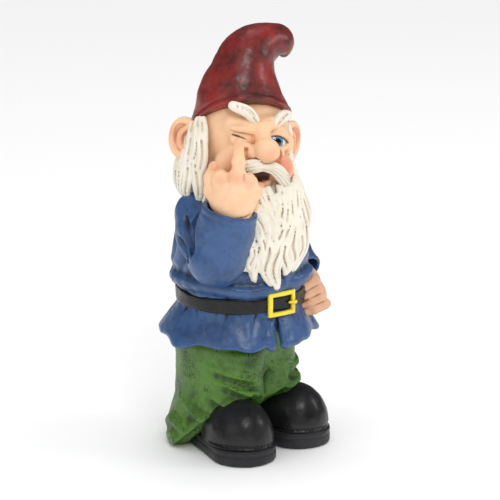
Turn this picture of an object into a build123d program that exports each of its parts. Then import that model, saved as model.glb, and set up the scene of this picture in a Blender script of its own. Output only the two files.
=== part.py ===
"""A garden gnome of hollow cast resin, built from the separate castings and fittings it is made of.

Millimetres, +Z up. The gnome faces -Y, and its own left side is +X. The figure is modelled about the
upright axis of its body, and moved at the end so that the origin is the middle of its box's base.
"""

import math
import os

from build123d import *

# ---------------------------------------------------------------- driving dimensions
WALL = 5.0  # thickness of a hollow casting
JOINT_GAP = 0.2  # glue line round a spigot or a peg
FAR = 300.0  # longer than anything that a cut has to pass through

# Boots and soles
SOLE_HEIGHT = 13.0
WELT_LIP = 1.4  # how far the sole stands out from the boot
TOE_RADIUS = 24.5
TOE_MIDDLE = (31.5, -33.5)
HEEL_RADIUS = 15.5
HEEL_MIDDLE = (18.0, 22.0)
DOME_HEIGHT = 34.0  # of the toe cap, above the sole
INSTEP_RADIUS = 14.0
COUNTER_HEIGHT = 13.0  # of the boot's straight wall, above the sole
ANKLE_RADIUS = 13.0
ANKLE_TOP = 62.0

# Trousers
TROUSER_Y = 8.0
LEG_FOOT_X = 24.0
LEG_TOP_X = 18.5
LEG_FOOT_SIZE = (32.0, 43.5)
LEG_KNEE_SIZE = (28.5, 43.5)
LEG_TOP_SIZE = (25.5, 42.0)
KNEE_HEIGHT = 45.0
HIP_HEIGHT = 80.0
HIP_TAPER = 4.0  # how much narrower the hips are where they meet the legs
HIP_DROP = 14.0
HIP_SIZE = (44.0, 43.0)
WAIST_SEAT = 108.0  # height where the jacket rests on the trousers
WAIST_Y = 3.0
WAIST_SPIGOT = (39.0, 37.0)
WAIST_SPIGOT_LENGTH = 12.0
HEM_FRONT = (-37.0, 48.0)  # y and height of the hem over the instep
HEM_FLOOR_Y = 26.0  # where the slanting hem comes down to the floor
HEM_CLEAR = 0.5

# Hips: each ring is (height, middle y, half width, half depth)
HIP_RINGS = (
    (HIP_HEIGHT - HIP_DROP, TROUSER_Y, HIP_SIZE[0] - HIP_TAPER, HIP_SIZE[1] - HIP_TAPER),
    (HIP_HEIGHT, TROUSER_Y, *HIP_SIZE),
    (WAIST_SEAT, WAIST_Y, *HIP_SIZE),
)

# Jacket: each ring is (height, middle y, half width, half depth)
JACKET_RINGS = (
    (92.0, 4.0, 66.0, 63.0),
    (100.0, 3.5, 62.0, 60.5),
    (114.0, 1.0, 54.0, 53.0),
    (125.0, 0.0, 51.0, 51.0),
    (137.0, 0.0, 54.5, 53.0),
    (150.0, 0.5, 56.0, 54.5),
    (172.0, 1.0, 53.5, 51.0),
    (194.0, 2.0, 48.5, 44.0),
    (212.0, 2.0, 40.0, 36.0),
    (226.0, 1.0, 30.0, 29.0),
)
WAIST_RING = JACKET_RINGS[3]  # where the belt goes round
HEM_EDGE = 4.5  # thickness of the skirt's lower edge
SLIT_WIDTH = 7.0
SLIT_TOP = 116.0
FRONT_TURN = -8.0  # of the slit and the buckle, towards the gnome's right
NECK_RADIUS = 20.0
NECK_SHOULDER_RADIUS = 25.0
NECK_SPIGOT_LENGTH = 12.0

# Belt and buckle
BELT_BOTTOM = 119.5
BELT_WIDTH = 12.5
BELT_SEAT_DEPTH = 1.5  # how far the belt is let into the jacket
BELT_THICKNESS = 2.8
BUCKLE_SIZE = (27.0, 20.0)
BUCKLE_WINDOW = (19.0, 12.5)
BUCKLE_THICKNESS = 2.8
PRONG_RADIUS = 1.3
PRONG_LENGTH = 6.0

# Head: its own frame has +Z up through the crown and -Y out of the nose
HEAD_CENTRE = (0.0, 0.0, 246.0)
HEAD_TURN = -20.0  # towards the raised hand
HEAD_TILT = 7.0  # towards the left shoulder
SKULL_PROFILE = ((24.0, 47.0), (32.5, 31.0), (37.0, 16.0), (38.5, -2.0), (35.0, -20.0), (23.0, -34.0))
SKULL_TOP = 56.0
SKULL_BOTTOM = -39.0
NOSE_CENTRE = (0.0, -44.0, 0.0)
NOSE_RADIUS = 10.5
CHEEK_CENTRE = (20.0, -27.0, -11.0)
CHEEK_RADIUS = 14.5
LIP_CENTRE = (0.0, -31.0, -30.0)
LIP_RADIUS = 11.0
EYE_CENTRE = (15.0, -26.5, 5.0)
EYE_RADIUS = 11.0
HEAD_HOLLOW_RADIUS = 26.0

EAR_CENTRE = (46.0, 8.0, 0.0)
EAR_HALF_SIZE = (4.5, 10.5, 15.5)  # thickness, depth and height
EAR_EDGE_RADIUS = 3.0
EAR_SPLAY = 60.0
EAR_ROOT_RADIUS = 39.0  # clear of the skull
EAR_PEG_RADIUS = 3.0
EAR_PEG_LENGTH = 14.0

BROW_POINTS = ((7.0, -37.0, 24.0), (15.0, -36.0, 30.0), (26.0, -28.0, 31.0))
BROW_RADII = (3.2, 4.2, 2.6)

MOUSTACHE_POINTS = ((0.0, -43.0, -13.0), (16.0, -40.0, -19.0), (29.0, -29.0, -32.0))
MOUSTACHE_RADII = (5.0, 6.0, 2.6)

# Hair: a cap round the back and sides of the head, open over the face, as (radius, height) pairs
HAIR_PROFILE = ((42.0, 18.0), (46.0, -4.0), (47.0, -24.0), (43.0, -44.0), (30.0, -44.0), (30.0, 18.0))
HAIR_FACE_ANGLE = 66.0  # from the nose to the front edge of each side lock

# Beard: rings as for the jacket, in a frame that turns with the head
BEARD_RINGS = (
    (145.0, -52.0, 6.0, 8.0),
    (156.0, -44.0, 22.0, 17.0),
    (172.0, -34.0, 36.0, 26.0),
    (192.0, -24.0, 44.0, 33.0),
    (210.0, -17.0, 43.0, 35.0),
    (221.0, -14.0, 41.0, 33.0),
)
BEARD_CHIN_RADIUS = 44.5  # the beard stands outside the chin
BEARD_CHIN_DEPTH = 18.0

# Hat: each ring is (along the bend, height above the head's middle, radius, lean in degrees)
HAT_RINGS = (
    (0.0, -6.0, 45.0, 0.0),
    (0.0, 18.0, 41.5, 0.0),
    (-1.5, 32.0, 39.0, 0.0),
    (-3.0, 46.0, 35.0, 0.0),
    (-2.5, 58.0, 30.0, 6.0),
    (2.0, 69.5, 23.5, 28.0),
    (11.0, 77.0, 17.5, 55.0),
    (22.5, 80.0, 13.8, 80.0),
    (31.5, 79.0, 11.6, 98.0),
)
HAT_BEND_DIRECTION = -16.0  # in plan, from the gnome's left side
BRIM_HEIGHT = 21.0  # of the brim's middle above the head's
BRIM_SLOPE = 25.0  # degrees, high over the forehead

# Right arm, raised, and its hand
RIGHT_ARM = ((-42.0, 4.0, 190.0), (-53.0, -28.0, 167.0), (-48.0, -36.0, 206.0))
RIGHT_ARM_RADII = (20.5, 21.5, 22.5)
RIGHT_WRIST_RADIUS = 15.0
RIGHT_HAND_CENTRE = (-48.5, -40.0, 221.0)
RIGHT_HAND_ACROSS = (0.707, -0.707, 0.0)  # from the thumb to the little finger
RIGHT_HAND_BACK = (-0.707, -0.707, 0.0)  # out of the back of the hand

# Left arm, and its fist at the hip
LEFT_ARM = ((42.0, 4.0, 192.0), (56.0, 19.0, 162.0), (56.0, -17.0, 141.0))
LEFT_ARM_RADII = (18.0, 15.5, 14.5)
LEFT_WRIST_RADIUS = 9.5
LEFT_HAND_CENTRE = (41.5, -43.0, 125.0)
LEFT_HAND_ACROSS = (0.25, -0.35, -0.90)  # from the first finger to the little one
LEFT_HAND_PALM = (0.47, 0.79, -0.18)  # into the palm

WRIST_SOCKET_DEPTH = 10.0
SHOULDER_PEG_RADIUS = 8.0
SHOULDER_PEG_LENGTH = 8.0  # inwards from the shoulder's middle
SHOULDER_PEG_ROOT = 12.0  # outwards from it

TURNED = Location(HEAD_CENTRE, (0.0, 0.0, HEAD_TURN))
HEAD_PLACE = Location(HEAD_CENTRE, (0.0, HEAD_TILT, HEAD_TURN))


# ---------------------------------------------------------------- small makers
def level_loft(rings, inset=0.0):
    """A smooth solid through level ellipses, each (height, middle y, half width, half depth)."""
    with BuildPart() as solid:
        for height, middle_y, half_width, half_depth in rings:
            with BuildSketch(Plane.XY.offset(height)):
                with Locations((0, middle_y)):
                    Ellipse(half_width - inset, half_depth - inset)
        loft()
    return solid.part


def limb(points, radii):
    """A round limb through points: a ball at each, and a tangent taper from one to the next."""
    with BuildPart() as solid:
        for start, end, near, far in zip(points, points[1:], radii, radii[1:]):
            path = Vector(*end) - Vector(*start)
            side = math.acos((near - far) / path.length)
            near_mid = (math.pi + side) / 2
            across = path.cross(Vector(0.3, 0.2, 1.0))
            with BuildSketch(Plane(origin=start, x_dir=path, z_dir=across)):
                with BuildLine():
                    first = ThreePointArc(
                        (-near, 0),
                        (near * math.cos(near_mid), near * math.sin(near_mid)),
                        (near * math.cos(side), near * math.sin(side)),
                    )
                    last = ThreePointArc(
                        (path.length + far * math.cos(side), far * math.sin(side)),
                        (path.length + far * math.cos(side / 2), far * math.sin(side / 2)),
                        (path.length + far, 0),
                    )
                    Line(first @ 1, last @ 0)
                    Line(last @ 1, first @ 0)
                make_face()
            revolve(axis=Axis(start, path))
    return solid.part


def rod(start, end, radius):
    """A plain cylinder from one point to another."""
    path = Vector(*end) - Vector(*start)
    with BuildPart() as solid:
        with BuildSketch(Plane(origin=start, z_dir=path)):
            Circle(radius)
        extrude(amount=path.length)
    return solid.part


def beyond(point, direction):
    """All the space past a plane through point, on the side that direction points to."""
    with BuildPart() as space:
        with BuildSketch(Plane(origin=point, z_dir=direction)):
            Rectangle(2 * FAR, 2 * FAR)
        extrude(amount=FAR)
    return space.part


def less(part, *cutters):
    """A part with other shapes cut out of it, without the crumbs that the cuts leave loose."""
    with BuildPart() as solid:
        add(part)
        for cutter in cutters:
            add(cutter, mode=Mode.SUBTRACT)
    return Part() + max(solid.part.solids(), key=lambda piece: piece.volume)


def toward(start, end, length):
    """The point at a length from start on the way to end."""
    path = Vector(*end) - Vector(*start)
    return Vector(*start) + path.normalized() * length


def mirrored_x(point, side):
    """A point for the gnome's left side (1) or its right side (-1)."""
    return (side * point[0], point[1], point[2])


# ---------------------------------------------------------------- boots
def boot_outline(side, lip=0.0):
    """The plan of one boot: toe and heel joined by tangents, grown by lip."""
    with BuildSketch() as outline:
        with Locations((side * TOE_MIDDLE[0], TOE_MIDDLE[1])):
            Circle(TOE_RADIUS + lip)
        with Locations((side * HEEL_MIDDLE[0], HEEL_MIDDLE[1])):
            Circle(HEEL_RADIUS + lip)
        make_hull()
    return outline.sketch


def make_sole(side):
    """A thick flat sole that stands out all round the boot as a welt."""
    with BuildPart() as sole:
        add(boot_outline(side, WELT_LIP))
        extrude(amount=SOLE_HEIGHT)
        chamfer(sole.edges().group_by(Axis.Z)[0], 0.8)
        fillet(sole.edges().group_by(Axis.Z)[-1], 1.2)
    return sole.part


def make_boot(side):
    """A boot on its sole: a round toe cap, a low counter, and an ankle that goes up the trouser leg."""
    toe_height = SOLE_HEIGHT + DOME_HEIGHT - TOE_RADIUS
    toe = (side * TOE_MIDDLE[0], TOE_MIDDLE[1], toe_height)
    instep = (side * HEEL_MIDDLE[0], HEEL_MIDDLE[1] - HEEL_RADIUS, toe_height)
    ankle_y = HEEL_MIDDLE[1] - HEEL_RADIUS + ANKLE_RADIUS
    with BuildPart() as boot:
        add(limb((toe, instep), (TOE_RADIUS, INSTEP_RADIUS)))
        with BuildSketch(Plane.XY.offset(SOLE_HEIGHT)):
            add(boot_outline(side, -WELT_LIP))
        extrude(amount=COUNTER_HEIGHT)
        with Locations((side * HEEL_MIDDLE[0], ankle_y, SOLE_HEIGHT)):
            Cylinder(
                ANKLE_RADIUS,
                ANKLE_TOP - SOLE_HEIGHT,
                align=(Align.CENTER, Align.CENTER, Align.MIN),
            )
    return less(boot.part, beyond((0, 0, SOLE_HEIGHT), (0, 0, -1)))


# ---------------------------------------------------------------- trousers
def trouser_shape():
    """Two legs and the hips as one solid."""
    knee_x = (LEG_FOOT_X + LEG_TOP_X) / 2
    leg_rings = (
        (HEM_CLEAR, LEG_FOOT_X, TROUSER_Y, LEG_FOOT_SIZE),
        (KNEE_HEIGHT, knee_x, TROUSER_Y - 4, LEG_KNEE_SIZE),
        (HIP_HEIGHT, LEG_TOP_X, TROUSER_Y, LEG_TOP_SIZE),
    )
    with BuildPart() as shape:
        for side in (-1, 1):
            for height, middle_x, middle_y, size in leg_rings:
                with BuildSketch(Plane.XY.offset(height)):
                    with Locations((side * middle_x, middle_y)):
                        Ellipse(*size)
            loft()
        add(level_loft(HIP_RINGS))
    return shape.part


def under_hem():
    """Everything in front of and under the slanting line of the trouser hems."""
    front_y, front_height = HEM_FRONT
    with BuildPart() as space:
        with BuildSketch(Plane.YZ):
            with BuildLine():
                Polyline(
                    (HEM_FLOOR_Y, 0),
                    (front_y, front_height),
                    (-FAR, front_height),
                    (-FAR, -FAR),
                    (HEM_FLOOR_Y, -FAR),
                    close=True,
                )
            make_face()
        extrude(amount=FAR, both=True)
    return space.part


def waist_plug(length, grow=0.0):
    """The upright ellipse that keys the jacket to the trousers."""
    with BuildPart() as plug:
        with BuildSketch(Plane.XY.offset(WAIST_SEAT)):
            with Locations((0, WAIST_Y)):
                Ellipse(WAIST_SPIGOT[0] + grow, WAIST_SPIGOT[1] + grow)
        extrude(amount=length)
    return plug.part


def make_trousers(footwear):
    """The trousers: hollow in the hips, solid in the legs, with a spigot for the jacket."""
    with BuildPart() as trousers:
        add(trouser_shape())
        add(waist_plug(WAIST_SPIGOT_LENGTH))
        add(under_hem(), mode=Mode.SUBTRACT)
        add(level_loft(HIP_RINGS[1:], WALL), mode=Mode.SUBTRACT)
        add(waist_plug(WAIST_SPIGOT_LENGTH, -WALL), mode=Mode.SUBTRACT)
    return less(trousers.part, *footwear)


# ---------------------------------------------------------------- jacket
def belt_band(offset):
    """The belt's height of the waist as a filled ellipse, grown outwards from the jacket by offset."""
    with BuildPart() as band:
        with BuildSketch(Plane.XY.offset(BELT_BOTTOM)):
            with Locations((0, WAIST_RING[1])):
                Ellipse(WAIST_RING[2] + offset, WAIST_RING[3] + offset)
        extrude(amount=BELT_WIDTH)
    return band.part


def belt_groove():
    """The shallow channel that the belt lies in."""
    return less(belt_band(FAR), belt_band(-BELT_SEAT_DEPTH))


def skirt_hollow():
    """The space under the flared skirt, from its thin edge in to the trousers' waist."""
    height, middle_y, half_width, half_depth = JACKET_RINGS[0]
    return level_loft(
        (
            (height - 0.01, middle_y, half_width - HEM_EDGE, half_depth - HEM_EDGE),
            (WAIST_SEAT, WAIST_Y, *HIP_SIZE),
        )
    )


def skirt_slit():
    """The opening at the front of the skirt, closed at its top under the belt."""
    hem = JACKET_RINGS[0][0]
    with BuildPart() as slit:
        with BuildSketch(Plane.XZ):
            with BuildLine():
                Polyline(
                    (-SLIT_WIDTH / 2, hem - 1),
                    (SLIT_WIDTH / 2, hem - 1),
                    (0.6, SLIT_TOP),
                    (-0.6, SLIT_TOP),
                    close=True,
                )
            make_face()
        extrude(amount=FAR)
    return slit.part.rotate(Axis.Z, FRONT_TURN)


def jacket_hollow():
    """The inside of the jacket casting, above its seat on the trousers."""
    rings = [ring for ring in JACKET_RINGS if ring[0] > WAIST_SEAT + WAIST_SPIGOT_LENGTH]
    top = rings[-1][0]
    with BuildPart() as hollow:
        add(level_loft(rings[:-1], WALL + BELT_SEAT_DEPTH + 2))
        add(waist_plug(rings[0][0] - WAIST_SEAT, -WALL))
        add(waist_plug(WAIST_SPIGOT_LENGTH + JOINT_GAP, JOINT_GAP))
        with Locations((0, 0, rings[-2][0])):
            Cylinder(NECK_RADIUS + JOINT_GAP, top, align=(Align.CENTER, Align.CENTER, Align.MIN))
    return hollow.part


def shoulder_peg(arm, grow=0.0):
    """The level peg that keys a sleeve into the jacket, from inside the sleeve."""
    x, y, z = arm[0]
    inward = -math.copysign(1.0, x)
    start = (x - inward * SHOULDER_PEG_ROOT, y, z)
    return rod(start, (x + inward * (SHOULDER_PEG_LENGTH + grow), y, z), SHOULDER_PEG_RADIUS + grow)


def jacket_shape():
    """The jacket's outside as one solid."""
    return level_loft(JACKET_RINGS)


def make_jacket():
    """The jacket: a hollow casting with a flared skirt, a belt channel and sockets for the arms."""
    return less(
        jacket_shape(),
        belt_groove(),
        skirt_hollow(),
        skirt_slit(),
        jacket_hollow(),
        shoulder_peg(RIGHT_ARM, JOINT_GAP),
        shoulder_peg(LEFT_ARM, JOINT_GAP),
    )


# ---------------------------------------------------------------- belt
def make_belt():
    """The belt: one closed band let into the jacket's waist."""
    return less(belt_band(BELT_THICKNESS - BELT_SEAT_DEPTH), belt_band(-BELT_SEAT_DEPTH))


def make_buckle():
    """The buckle's square frame, bent to the belt it lies on."""
    face_y = WAIST_RING[1] - WAIST_RING[3] + BELT_SEAT_DEPTH - BELT_THICKNESS
    middle = BELT_BOTTOM + BELT_WIDTH / 2
    with BuildPart() as buckle:
        with BuildSketch(Plane.XZ.offset(-face_y + BUCKLE_THICKNESS)):
            with Locations((0, middle)):
                RectangleRounded(*BUCKLE_SIZE, 1.2)
                RectangleRounded(*BUCKLE_WINDOW, 0.6, mode=Mode.SUBTRACT)
        extrude(amount=-BUCKLE_THICKNESS * 3)
    return buckle.part.rotate(Axis.Z, FRONT_TURN)


def make_prong():
    """The prong: a short round tongue that comes out of the belt and rests on the buckle's bar."""
    face_y = WAIST_RING[1] - WAIST_RING[3] + BELT_SEAT_DEPTH - BELT_THICKNESS - BUCKLE_THICKNESS
    middle = BELT_BOTTOM + BELT_WIDTH / 2
    bar_x = (BUCKLE_SIZE[0] + BUCKLE_WINDOW[0]) / 4
    return rod(
        (bar_x + PRONG_RADIUS, face_y - PRONG_RADIUS, middle),
        (bar_x + PRONG_RADIUS - PRONG_LENGTH, face_y - PRONG_RADIUS, middle),
        PRONG_RADIUS,
    ).rotate(Axis.Z, FRONT_TURN)


# ---------------------------------------------------------------- arms and hands
def sleeve_shape(arm, radii):
    """A bent sleeve that ends square at its cuff."""
    return less(limb(arm, radii), beyond(arm[2], Vector(*arm[2]) - Vector(*arm[1])))


def wrist_socket(arm, radius):
    """The hole in a cuff that takes the wrist."""
    bottom = toward(arm[2], arm[1], WRIST_SOCKET_DEPTH)
    return rod((bottom.X, bottom.Y, bottom.Z), arm[2], radius)


def make_sleeve(arm, radii, wrist_radius, body):
    """A sleeve casting, fitted against the jacket, with its peg and the socket for the wrist."""
    with BuildPart() as sleeve:
        add(less(sleeve_shape(arm, radii), body, wrist_socket(arm, wrist_radius + JOINT_GAP)))
        add(shoulder_peg(arm))
    return sleeve.part


def hand_place(centre, across, normal):
    """The frame of a hand: x from the first finger to the little one, z along its normal."""
    return Plane(origin=centre, x_dir=across, z_dir=normal).location


def make_right_hand():
    """The raised hand: a fist with its middle finger up, seen from the back, and its thumb out."""
    place = hand_place(RIGHT_HAND_CENTRE, RIGHT_HAND_ACROSS, RIGHT_HAND_BACK)
    rays = (
        ((-6.0, -8.0, 0.0), (-9.0, 9.0, 1.0), 8.5, 6.5),
        ((0.0, -8.0, 0.0), (4.0, 11.0, 2.0), 9.0, 7.0),
        ((5.0, -8.0, 0.0), (12.0, 8.0, 1.0), 8.5, 6.5),
        ((8.0, -8.0, -1.0), (16.5, 2.0, -1.0), 8.0, 6.0),
    )
    with BuildPart() as hand:
        for base, knuckle, base_radius, knuckle_radius in rays:
            add(limb((base, knuckle), (base_radius, knuckle_radius)))
        add(limb(((4.0, 11.0, 0.0), (5.0, 37.0, -1.0)), (5.4, 4.2)))
        for x, y in ((-9.0, 7.0), (12.0, 6.0), (16.0, 0.0)):
            add(limb(((x, y, -2.0), (x - 1, y - 1, -9.0), (x - 2, y - 10, -10.0)), (5.5, 4.8, 4.2)))
        add(limb(((-8.0, -8.0, -1.0), (-16.0, 3.0, -4.0), (-15.0, 19.0, -5.0)), (7.5, 5.2, 3.6)))
        add(limb(((0.0, -8.0, 0.0), (0.0, -14.0, 0.0)), (14.0, RIGHT_WRIST_RADIUS)))
    cuff = RIGHT_ARM[2]
    stub = toward(cuff, RIGHT_ARM[1], WRIST_SOCKET_DEPTH - JOINT_GAP)
    with BuildPart() as whole:
        add(less(hand.part.moved(place), beyond(cuff, Vector(*RIGHT_ARM[1]) - Vector(*cuff))))
        add(rod((stub.X, stub.Y, stub.Z), cuff, RIGHT_WRIST_RADIUS))
    return whole.part


def make_left_hand():
    """The fist at the hip: four fingers one above another, and the thumb over the first."""
    place = hand_place(LEFT_HAND_CENTRE, LEFT_HAND_ACROSS, LEFT_HAND_PALM)
    with BuildPart() as hand:
        for x, y, radius in ((-9.5, 0.0, 4.8), (-2.5, 1.0, 5.0), (4.5, 0.5, 4.8), (10.5, -1.0, 4.2)):
            add(limb(((x, y - 8, -3.0), (x * 0.85, y + 8, -4.0)), (radius, radius - 0.8)))
        add(limb(((-8.0, -5.0, 4.0), (8.0, -5.0, 4.0)), (9.0, 8.0)))
        add(limb(((-16.0, -4.0, 2.0), (-14.0, 6.0, -7.0)), (5.2, 4.4)))
        add(limb(((-16.0, -4.0, 5.0), (-8.0, -4.0, 4.0)), (LEFT_WRIST_RADIUS - 1, 9.0)))
    cuff = LEFT_ARM[2]
    stub = toward(cuff, LEFT_ARM[1], WRIST_SOCKET_DEPTH - JOINT_GAP)
    with BuildPart() as whole:
        add(less(hand.part.moved(place), beyond(cuff, Vector(*LEFT_ARM[1]) - Vector(*cuff))))
        add(rod((stub.X, stub.Y, stub.Z), cuff, LEFT_WRIST_RADIUS))
    return whole.part


# ---------------------------------------------------------------- head
def skull_shape():
    """The head without its features, in the head's own frame."""
    with BuildPart() as skull:
        with BuildSketch(Plane.XZ):
            with BuildLine():
                outline = Spline(
                    (0, SKULL_TOP),
                    *SKULL_PROFILE,
                    (0, SKULL_BOTTOM),
                    tangents=((1, 0), (-1, 0)),
                )
                Line(outline @ 1, outline @ 0)
            make_face()
        revolve(axis=Axis.Z)
    return skull.part


def head_shape():
    """The head with its nose, cheeks, lower lip and neck, as one solid in place."""
    with BuildPart() as face:
        add(skull_shape())
        with Locations(NOSE_CENTRE):
            Sphere(NOSE_RADIUS)
        with Locations(mirrored_x(CHEEK_CENTRE, 1), mirrored_x(CHEEK_CENTRE, -1)):
            Sphere(CHEEK_RADIUS)
        with Locations(LIP_CENTRE):
            Sphere(LIP_RADIUS)
    top = JACKET_RINGS[-1][0]
    with BuildPart() as head:
        add(face.part.moved(HEAD_PLACE))
        with Locations((0, 0, top)):
            Cylinder(
                NECK_SHOULDER_RADIUS,
                HEAD_CENTRE[2] - top,
                align=(Align.CENTER, Align.CENTER, Align.MIN),
            )
    return head.part


def make_head(body, hand):
    """The head casting: hollow, with a spigot in the jacket's neck and an open left eye socket."""
    top = JACKET_RINGS[-1][0]
    bottom = top - NECK_SPIGOT_LENGTH
    with BuildPart() as head:
        add(less(head_shape(), body, hand, eyeball(JOINT_GAP)))
        with Locations((0, 0, bottom)):
            Cylinder(
                NECK_RADIUS,
                NECK_SPIGOT_LENGTH + 1,
                align=(Align.CENTER, Align.CENTER, Align.MIN),
            )
        with Locations(HEAD_CENTRE):
            Sphere(HEAD_HOLLOW_RADIUS, mode=Mode.SUBTRACT)
        with Locations((0, 0, bottom)):
            Cylinder(
                NECK_RADIUS - WALL,
                HEAD_CENTRE[2] - bottom,
                align=(Align.CENTER, Align.CENTER, Align.MIN),
                mode=Mode.SUBTRACT,
            )
    return less(head.part, ear_peg(1, JOINT_GAP), ear_peg(-1, JOINT_GAP))


def eyeball(grow=0.0):
    """The ball of the open left eye, in place."""
    with BuildPart() as ball:
        with Locations(EYE_CENTRE):
            Sphere(EYE_RADIUS + grow)
    return ball.part.moved(HEAD_PLACE)


def ear_peg(side, grow=0.0):
    """The peg that keys an ear into the head, in place."""
    start = mirrored_x(EAR_CENTRE, side)
    end = toward(start, (0, start[1], start[2]), EAR_PEG_LENGTH + grow)
    return rod(start, (end.X, end.Y, end.Z), EAR_PEG_RADIUS + grow).moved(HEAD_PLACE)


def ear_leaf(side, grow=0.0):
    """The leaf of one ear, which stands out from the head at a splay, in the head's frame."""
    thickness, depth, height = EAR_HALF_SIZE
    across = Location(mirrored_x(EAR_CENTRE, side), (0, 0, 90 - side * EAR_SPLAY))
    with BuildPart() as leaf:
        with BuildSketch(Plane.XZ.offset(-thickness - grow)):
            Ellipse(depth + grow, height + grow)
        extrude(amount=2 * (thickness + grow))
        fillet(leaf.edges(), EAR_EDGE_RADIUS)
    return leaf.part.moved(across)


def make_ear(side):
    """One ear, on a peg, with a flat root against the head and a flat top under the hat's brim."""
    splay = math.radians(EAR_SPLAY)
    outward = Vector(side * math.sin(splay), math.cos(splay), 0)
    brim = brim_plane()
    with BuildPart() as ear:
        add(less(ear_leaf(side), beyond(outward * EAR_ROOT_RADIUS, -outward)).moved(HEAD_PLACE))
        add(beyond(brim.origin - brim.z_dir * JOINT_GAP, brim.z_dir), mode=Mode.SUBTRACT)
        add(ear_peg(side))
    return ear.part


def make_brow(side, head, hat):
    """One bushy eyebrow that lies on the forehead."""
    points = [mirrored_x(point, side) for point in BROW_POINTS]
    return less(limb(points, BROW_RADII).moved(HEAD_PLACE), head, hat)


def moustache_shape():
    """Both halves of the moustache as one solid, in place."""
    with BuildPart() as moustache:
        for side in (-1, 1):
            points = [mirrored_x(point, side) for point in MOUSTACHE_POINTS]
            add(limb(points, MOUSTACHE_RADII))
    return moustache.part.moved(HEAD_PLACE)


def make_hair(*neighbours):
    """The hair: a thick cap round the back and sides of the head, cut round its neighbours."""
    with BuildPart() as hair:
        with BuildSketch(Plane.YZ):
            with BuildLine():
                Polyline(*[(-radius, height) for radius, height in HAIR_PROFILE], close=True)
            make_face()
        revolve(axis=Axis.Z, revolution_arc=360 - 2 * HAIR_FACE_ANGLE)
    turned = hair.part.moved(Location((0, 0, 0), (0, 0, HAIR_FACE_ANGLE)))
    return less(turned.moved(TURNED), *neighbours)


def make_beard(*neighbours):
    """The beard: a thick bib that hangs from the chin over the chest, between the side locks."""
    top = BEARD_RINGS[-1][0]
    with BuildPart() as bib:
        add(level_loft(BEARD_RINGS))
        with Locations((0, 0, top)):
            Cylinder(
                BEARD_CHIN_RADIUS,
                BEARD_CHIN_DEPTH,
                align=(Align.CENTER, Align.CENTER, Align.MAX),
                mode=Mode.SUBTRACT,
            )
        for side in (-1, 1):
            edge = math.radians(HAIR_FACE_ANGLE)
            add(
                beyond((0, -JOINT_GAP, 0), (side * math.cos(edge), math.sin(edge), 0)),
                mode=Mode.SUBTRACT,
            )
    return less(bib.part.moved(Location((0, 0, 0), (0, 0, HEAD_TURN))), *neighbours)


# ---------------------------------------------------------------- hat
def brim_plane():
    """The sloping plane of the hat's brim, which faces up."""
    return Plane(HEAD_PLACE * Location((0, 0, BRIM_HEIGHT), (-BRIM_SLOPE, 0, 0)))


def hat_shape():
    """The hat's outside: a cone whose top bends over to a round tip, cut to its sloping brim."""
    with BuildPart() as hat:
        for along, height, radius, lean in HAT_RINGS:
            lean_angle = math.radians(lean)
            normal = (math.sin(lean_angle), 0, math.cos(lean_angle))
            with BuildSketch(Plane(origin=(along, 0, height), x_dir=(0, 1, 0), z_dir=normal)):
                Circle(radius)
        loft()
        along, height, radius, lean = HAT_RINGS[-1]
        with Locations((along, 0, height)):
            Sphere(radius)
    bend = Location(HEAD_CENTRE, (0, 0, HAT_BEND_DIRECTION))
    brim = brim_plane()
    return less(hat.part.moved(bend), beyond(brim.origin, -brim.z_dir))


def make_hat(head):
    """The hat casting, hollowed to sit down over the crown of the head."""
    return less(hat_shape(), head)


# ---------------------------------------------------------------- the whole figure
def build_pieces():
    """Every piece in place about the body's axis, by name."""
    pieces = {}
    for side, name in ((-1, "right"), (1, "left")):
        pieces[f"{name}_sole"] = make_sole(side)
        pieces[f"{name}_boot"] = make_boot(side)
    footwear = [pieces[f"{name}_{item}"] for name in ("right", "left") for item in ("sole", "boot")]
    body = jacket_shape()
    pieces["trousers"] = make_trousers(footwear)
    pieces["jacket"] = make_jacket()
    pieces["belt"] = make_belt()
    pieces["buckle_frame"] = less(make_buckle(), pieces["belt"], body)
    pieces["buckle_prong"] = make_prong()
    right_hand = less(make_right_hand(), body)
    pieces["right_sleeve"] = make_sleeve(RIGHT_ARM, RIGHT_ARM_RADII, RIGHT_WRIST_RADIUS, body)
    left_hand = make_left_hand()
    pieces["left_sleeve"] = less(
        make_sleeve(LEFT_ARM, LEFT_ARM_RADII, LEFT_WRIST_RADIUS, body), belt_band(BELT_THICKNESS)
    )
    pieces["right_hand"] = right_hand
    pieces["left_hand"] = less(left_hand, body, belt_band(BELT_THICKNESS), pieces["left_sleeve"])
    pieces["head"] = make_head(body, right_hand)
    pieces["left_eyeball"] = eyeball()
    pieces["hat"] = make_hat(head_shape())
    head = head_shape()
    pieces["right_ear"] = make_ear(-1)
    pieces["left_ear"] = make_ear(1)
    pieces["right_eyebrow"] = make_brow(-1, head, pieces["hat"])
    pieces["left_eyebrow"] = make_brow(1, head, pieces["hat"])
    sleeves = (pieces["right_sleeve"], pieces["left_sleeve"])
    ears = [ear_leaf(side, JOINT_GAP).moved(HEAD_PLACE) for side in (-1, 1)]
    ears += [ear_peg(side, JOINT_GAP) for side in (-1, 1)]
    pieces["hair"] = make_hair(head, hat_shape(), body, *sleeves, *ears, right_hand)
    moustache = less(moustache_shape(), head, right_hand, pieces["hair"])
    pieces["moustache"] = moustache
    pieces["beard"] = make_beard(body, *sleeves, right_hand, moustache)
    return pieces


def main():
    """Builds the figure, puts its origin at the middle of its base, and writes one file a piece."""
    os.makedirs("parts", exist_ok=True)
    pieces = build_pieces()
    box = Compound(children=[Part() + piece for piece in pieces.values()]).bounding_box()
    home = Location((-(box.min.X + box.max.X) / 2, -(box.min.Y + box.max.Y) / 2, -box.min.Z))
    for name, piece in pieces.items():
        placed = piece.moved(home)
        placed.label = name
        export_step(placed, f"parts/{name}.step")
        print(name, len(placed.solids()), round(placed.volume / 1000, 1))
    print("size", box.size, "moved by", home.position)


main()
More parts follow.
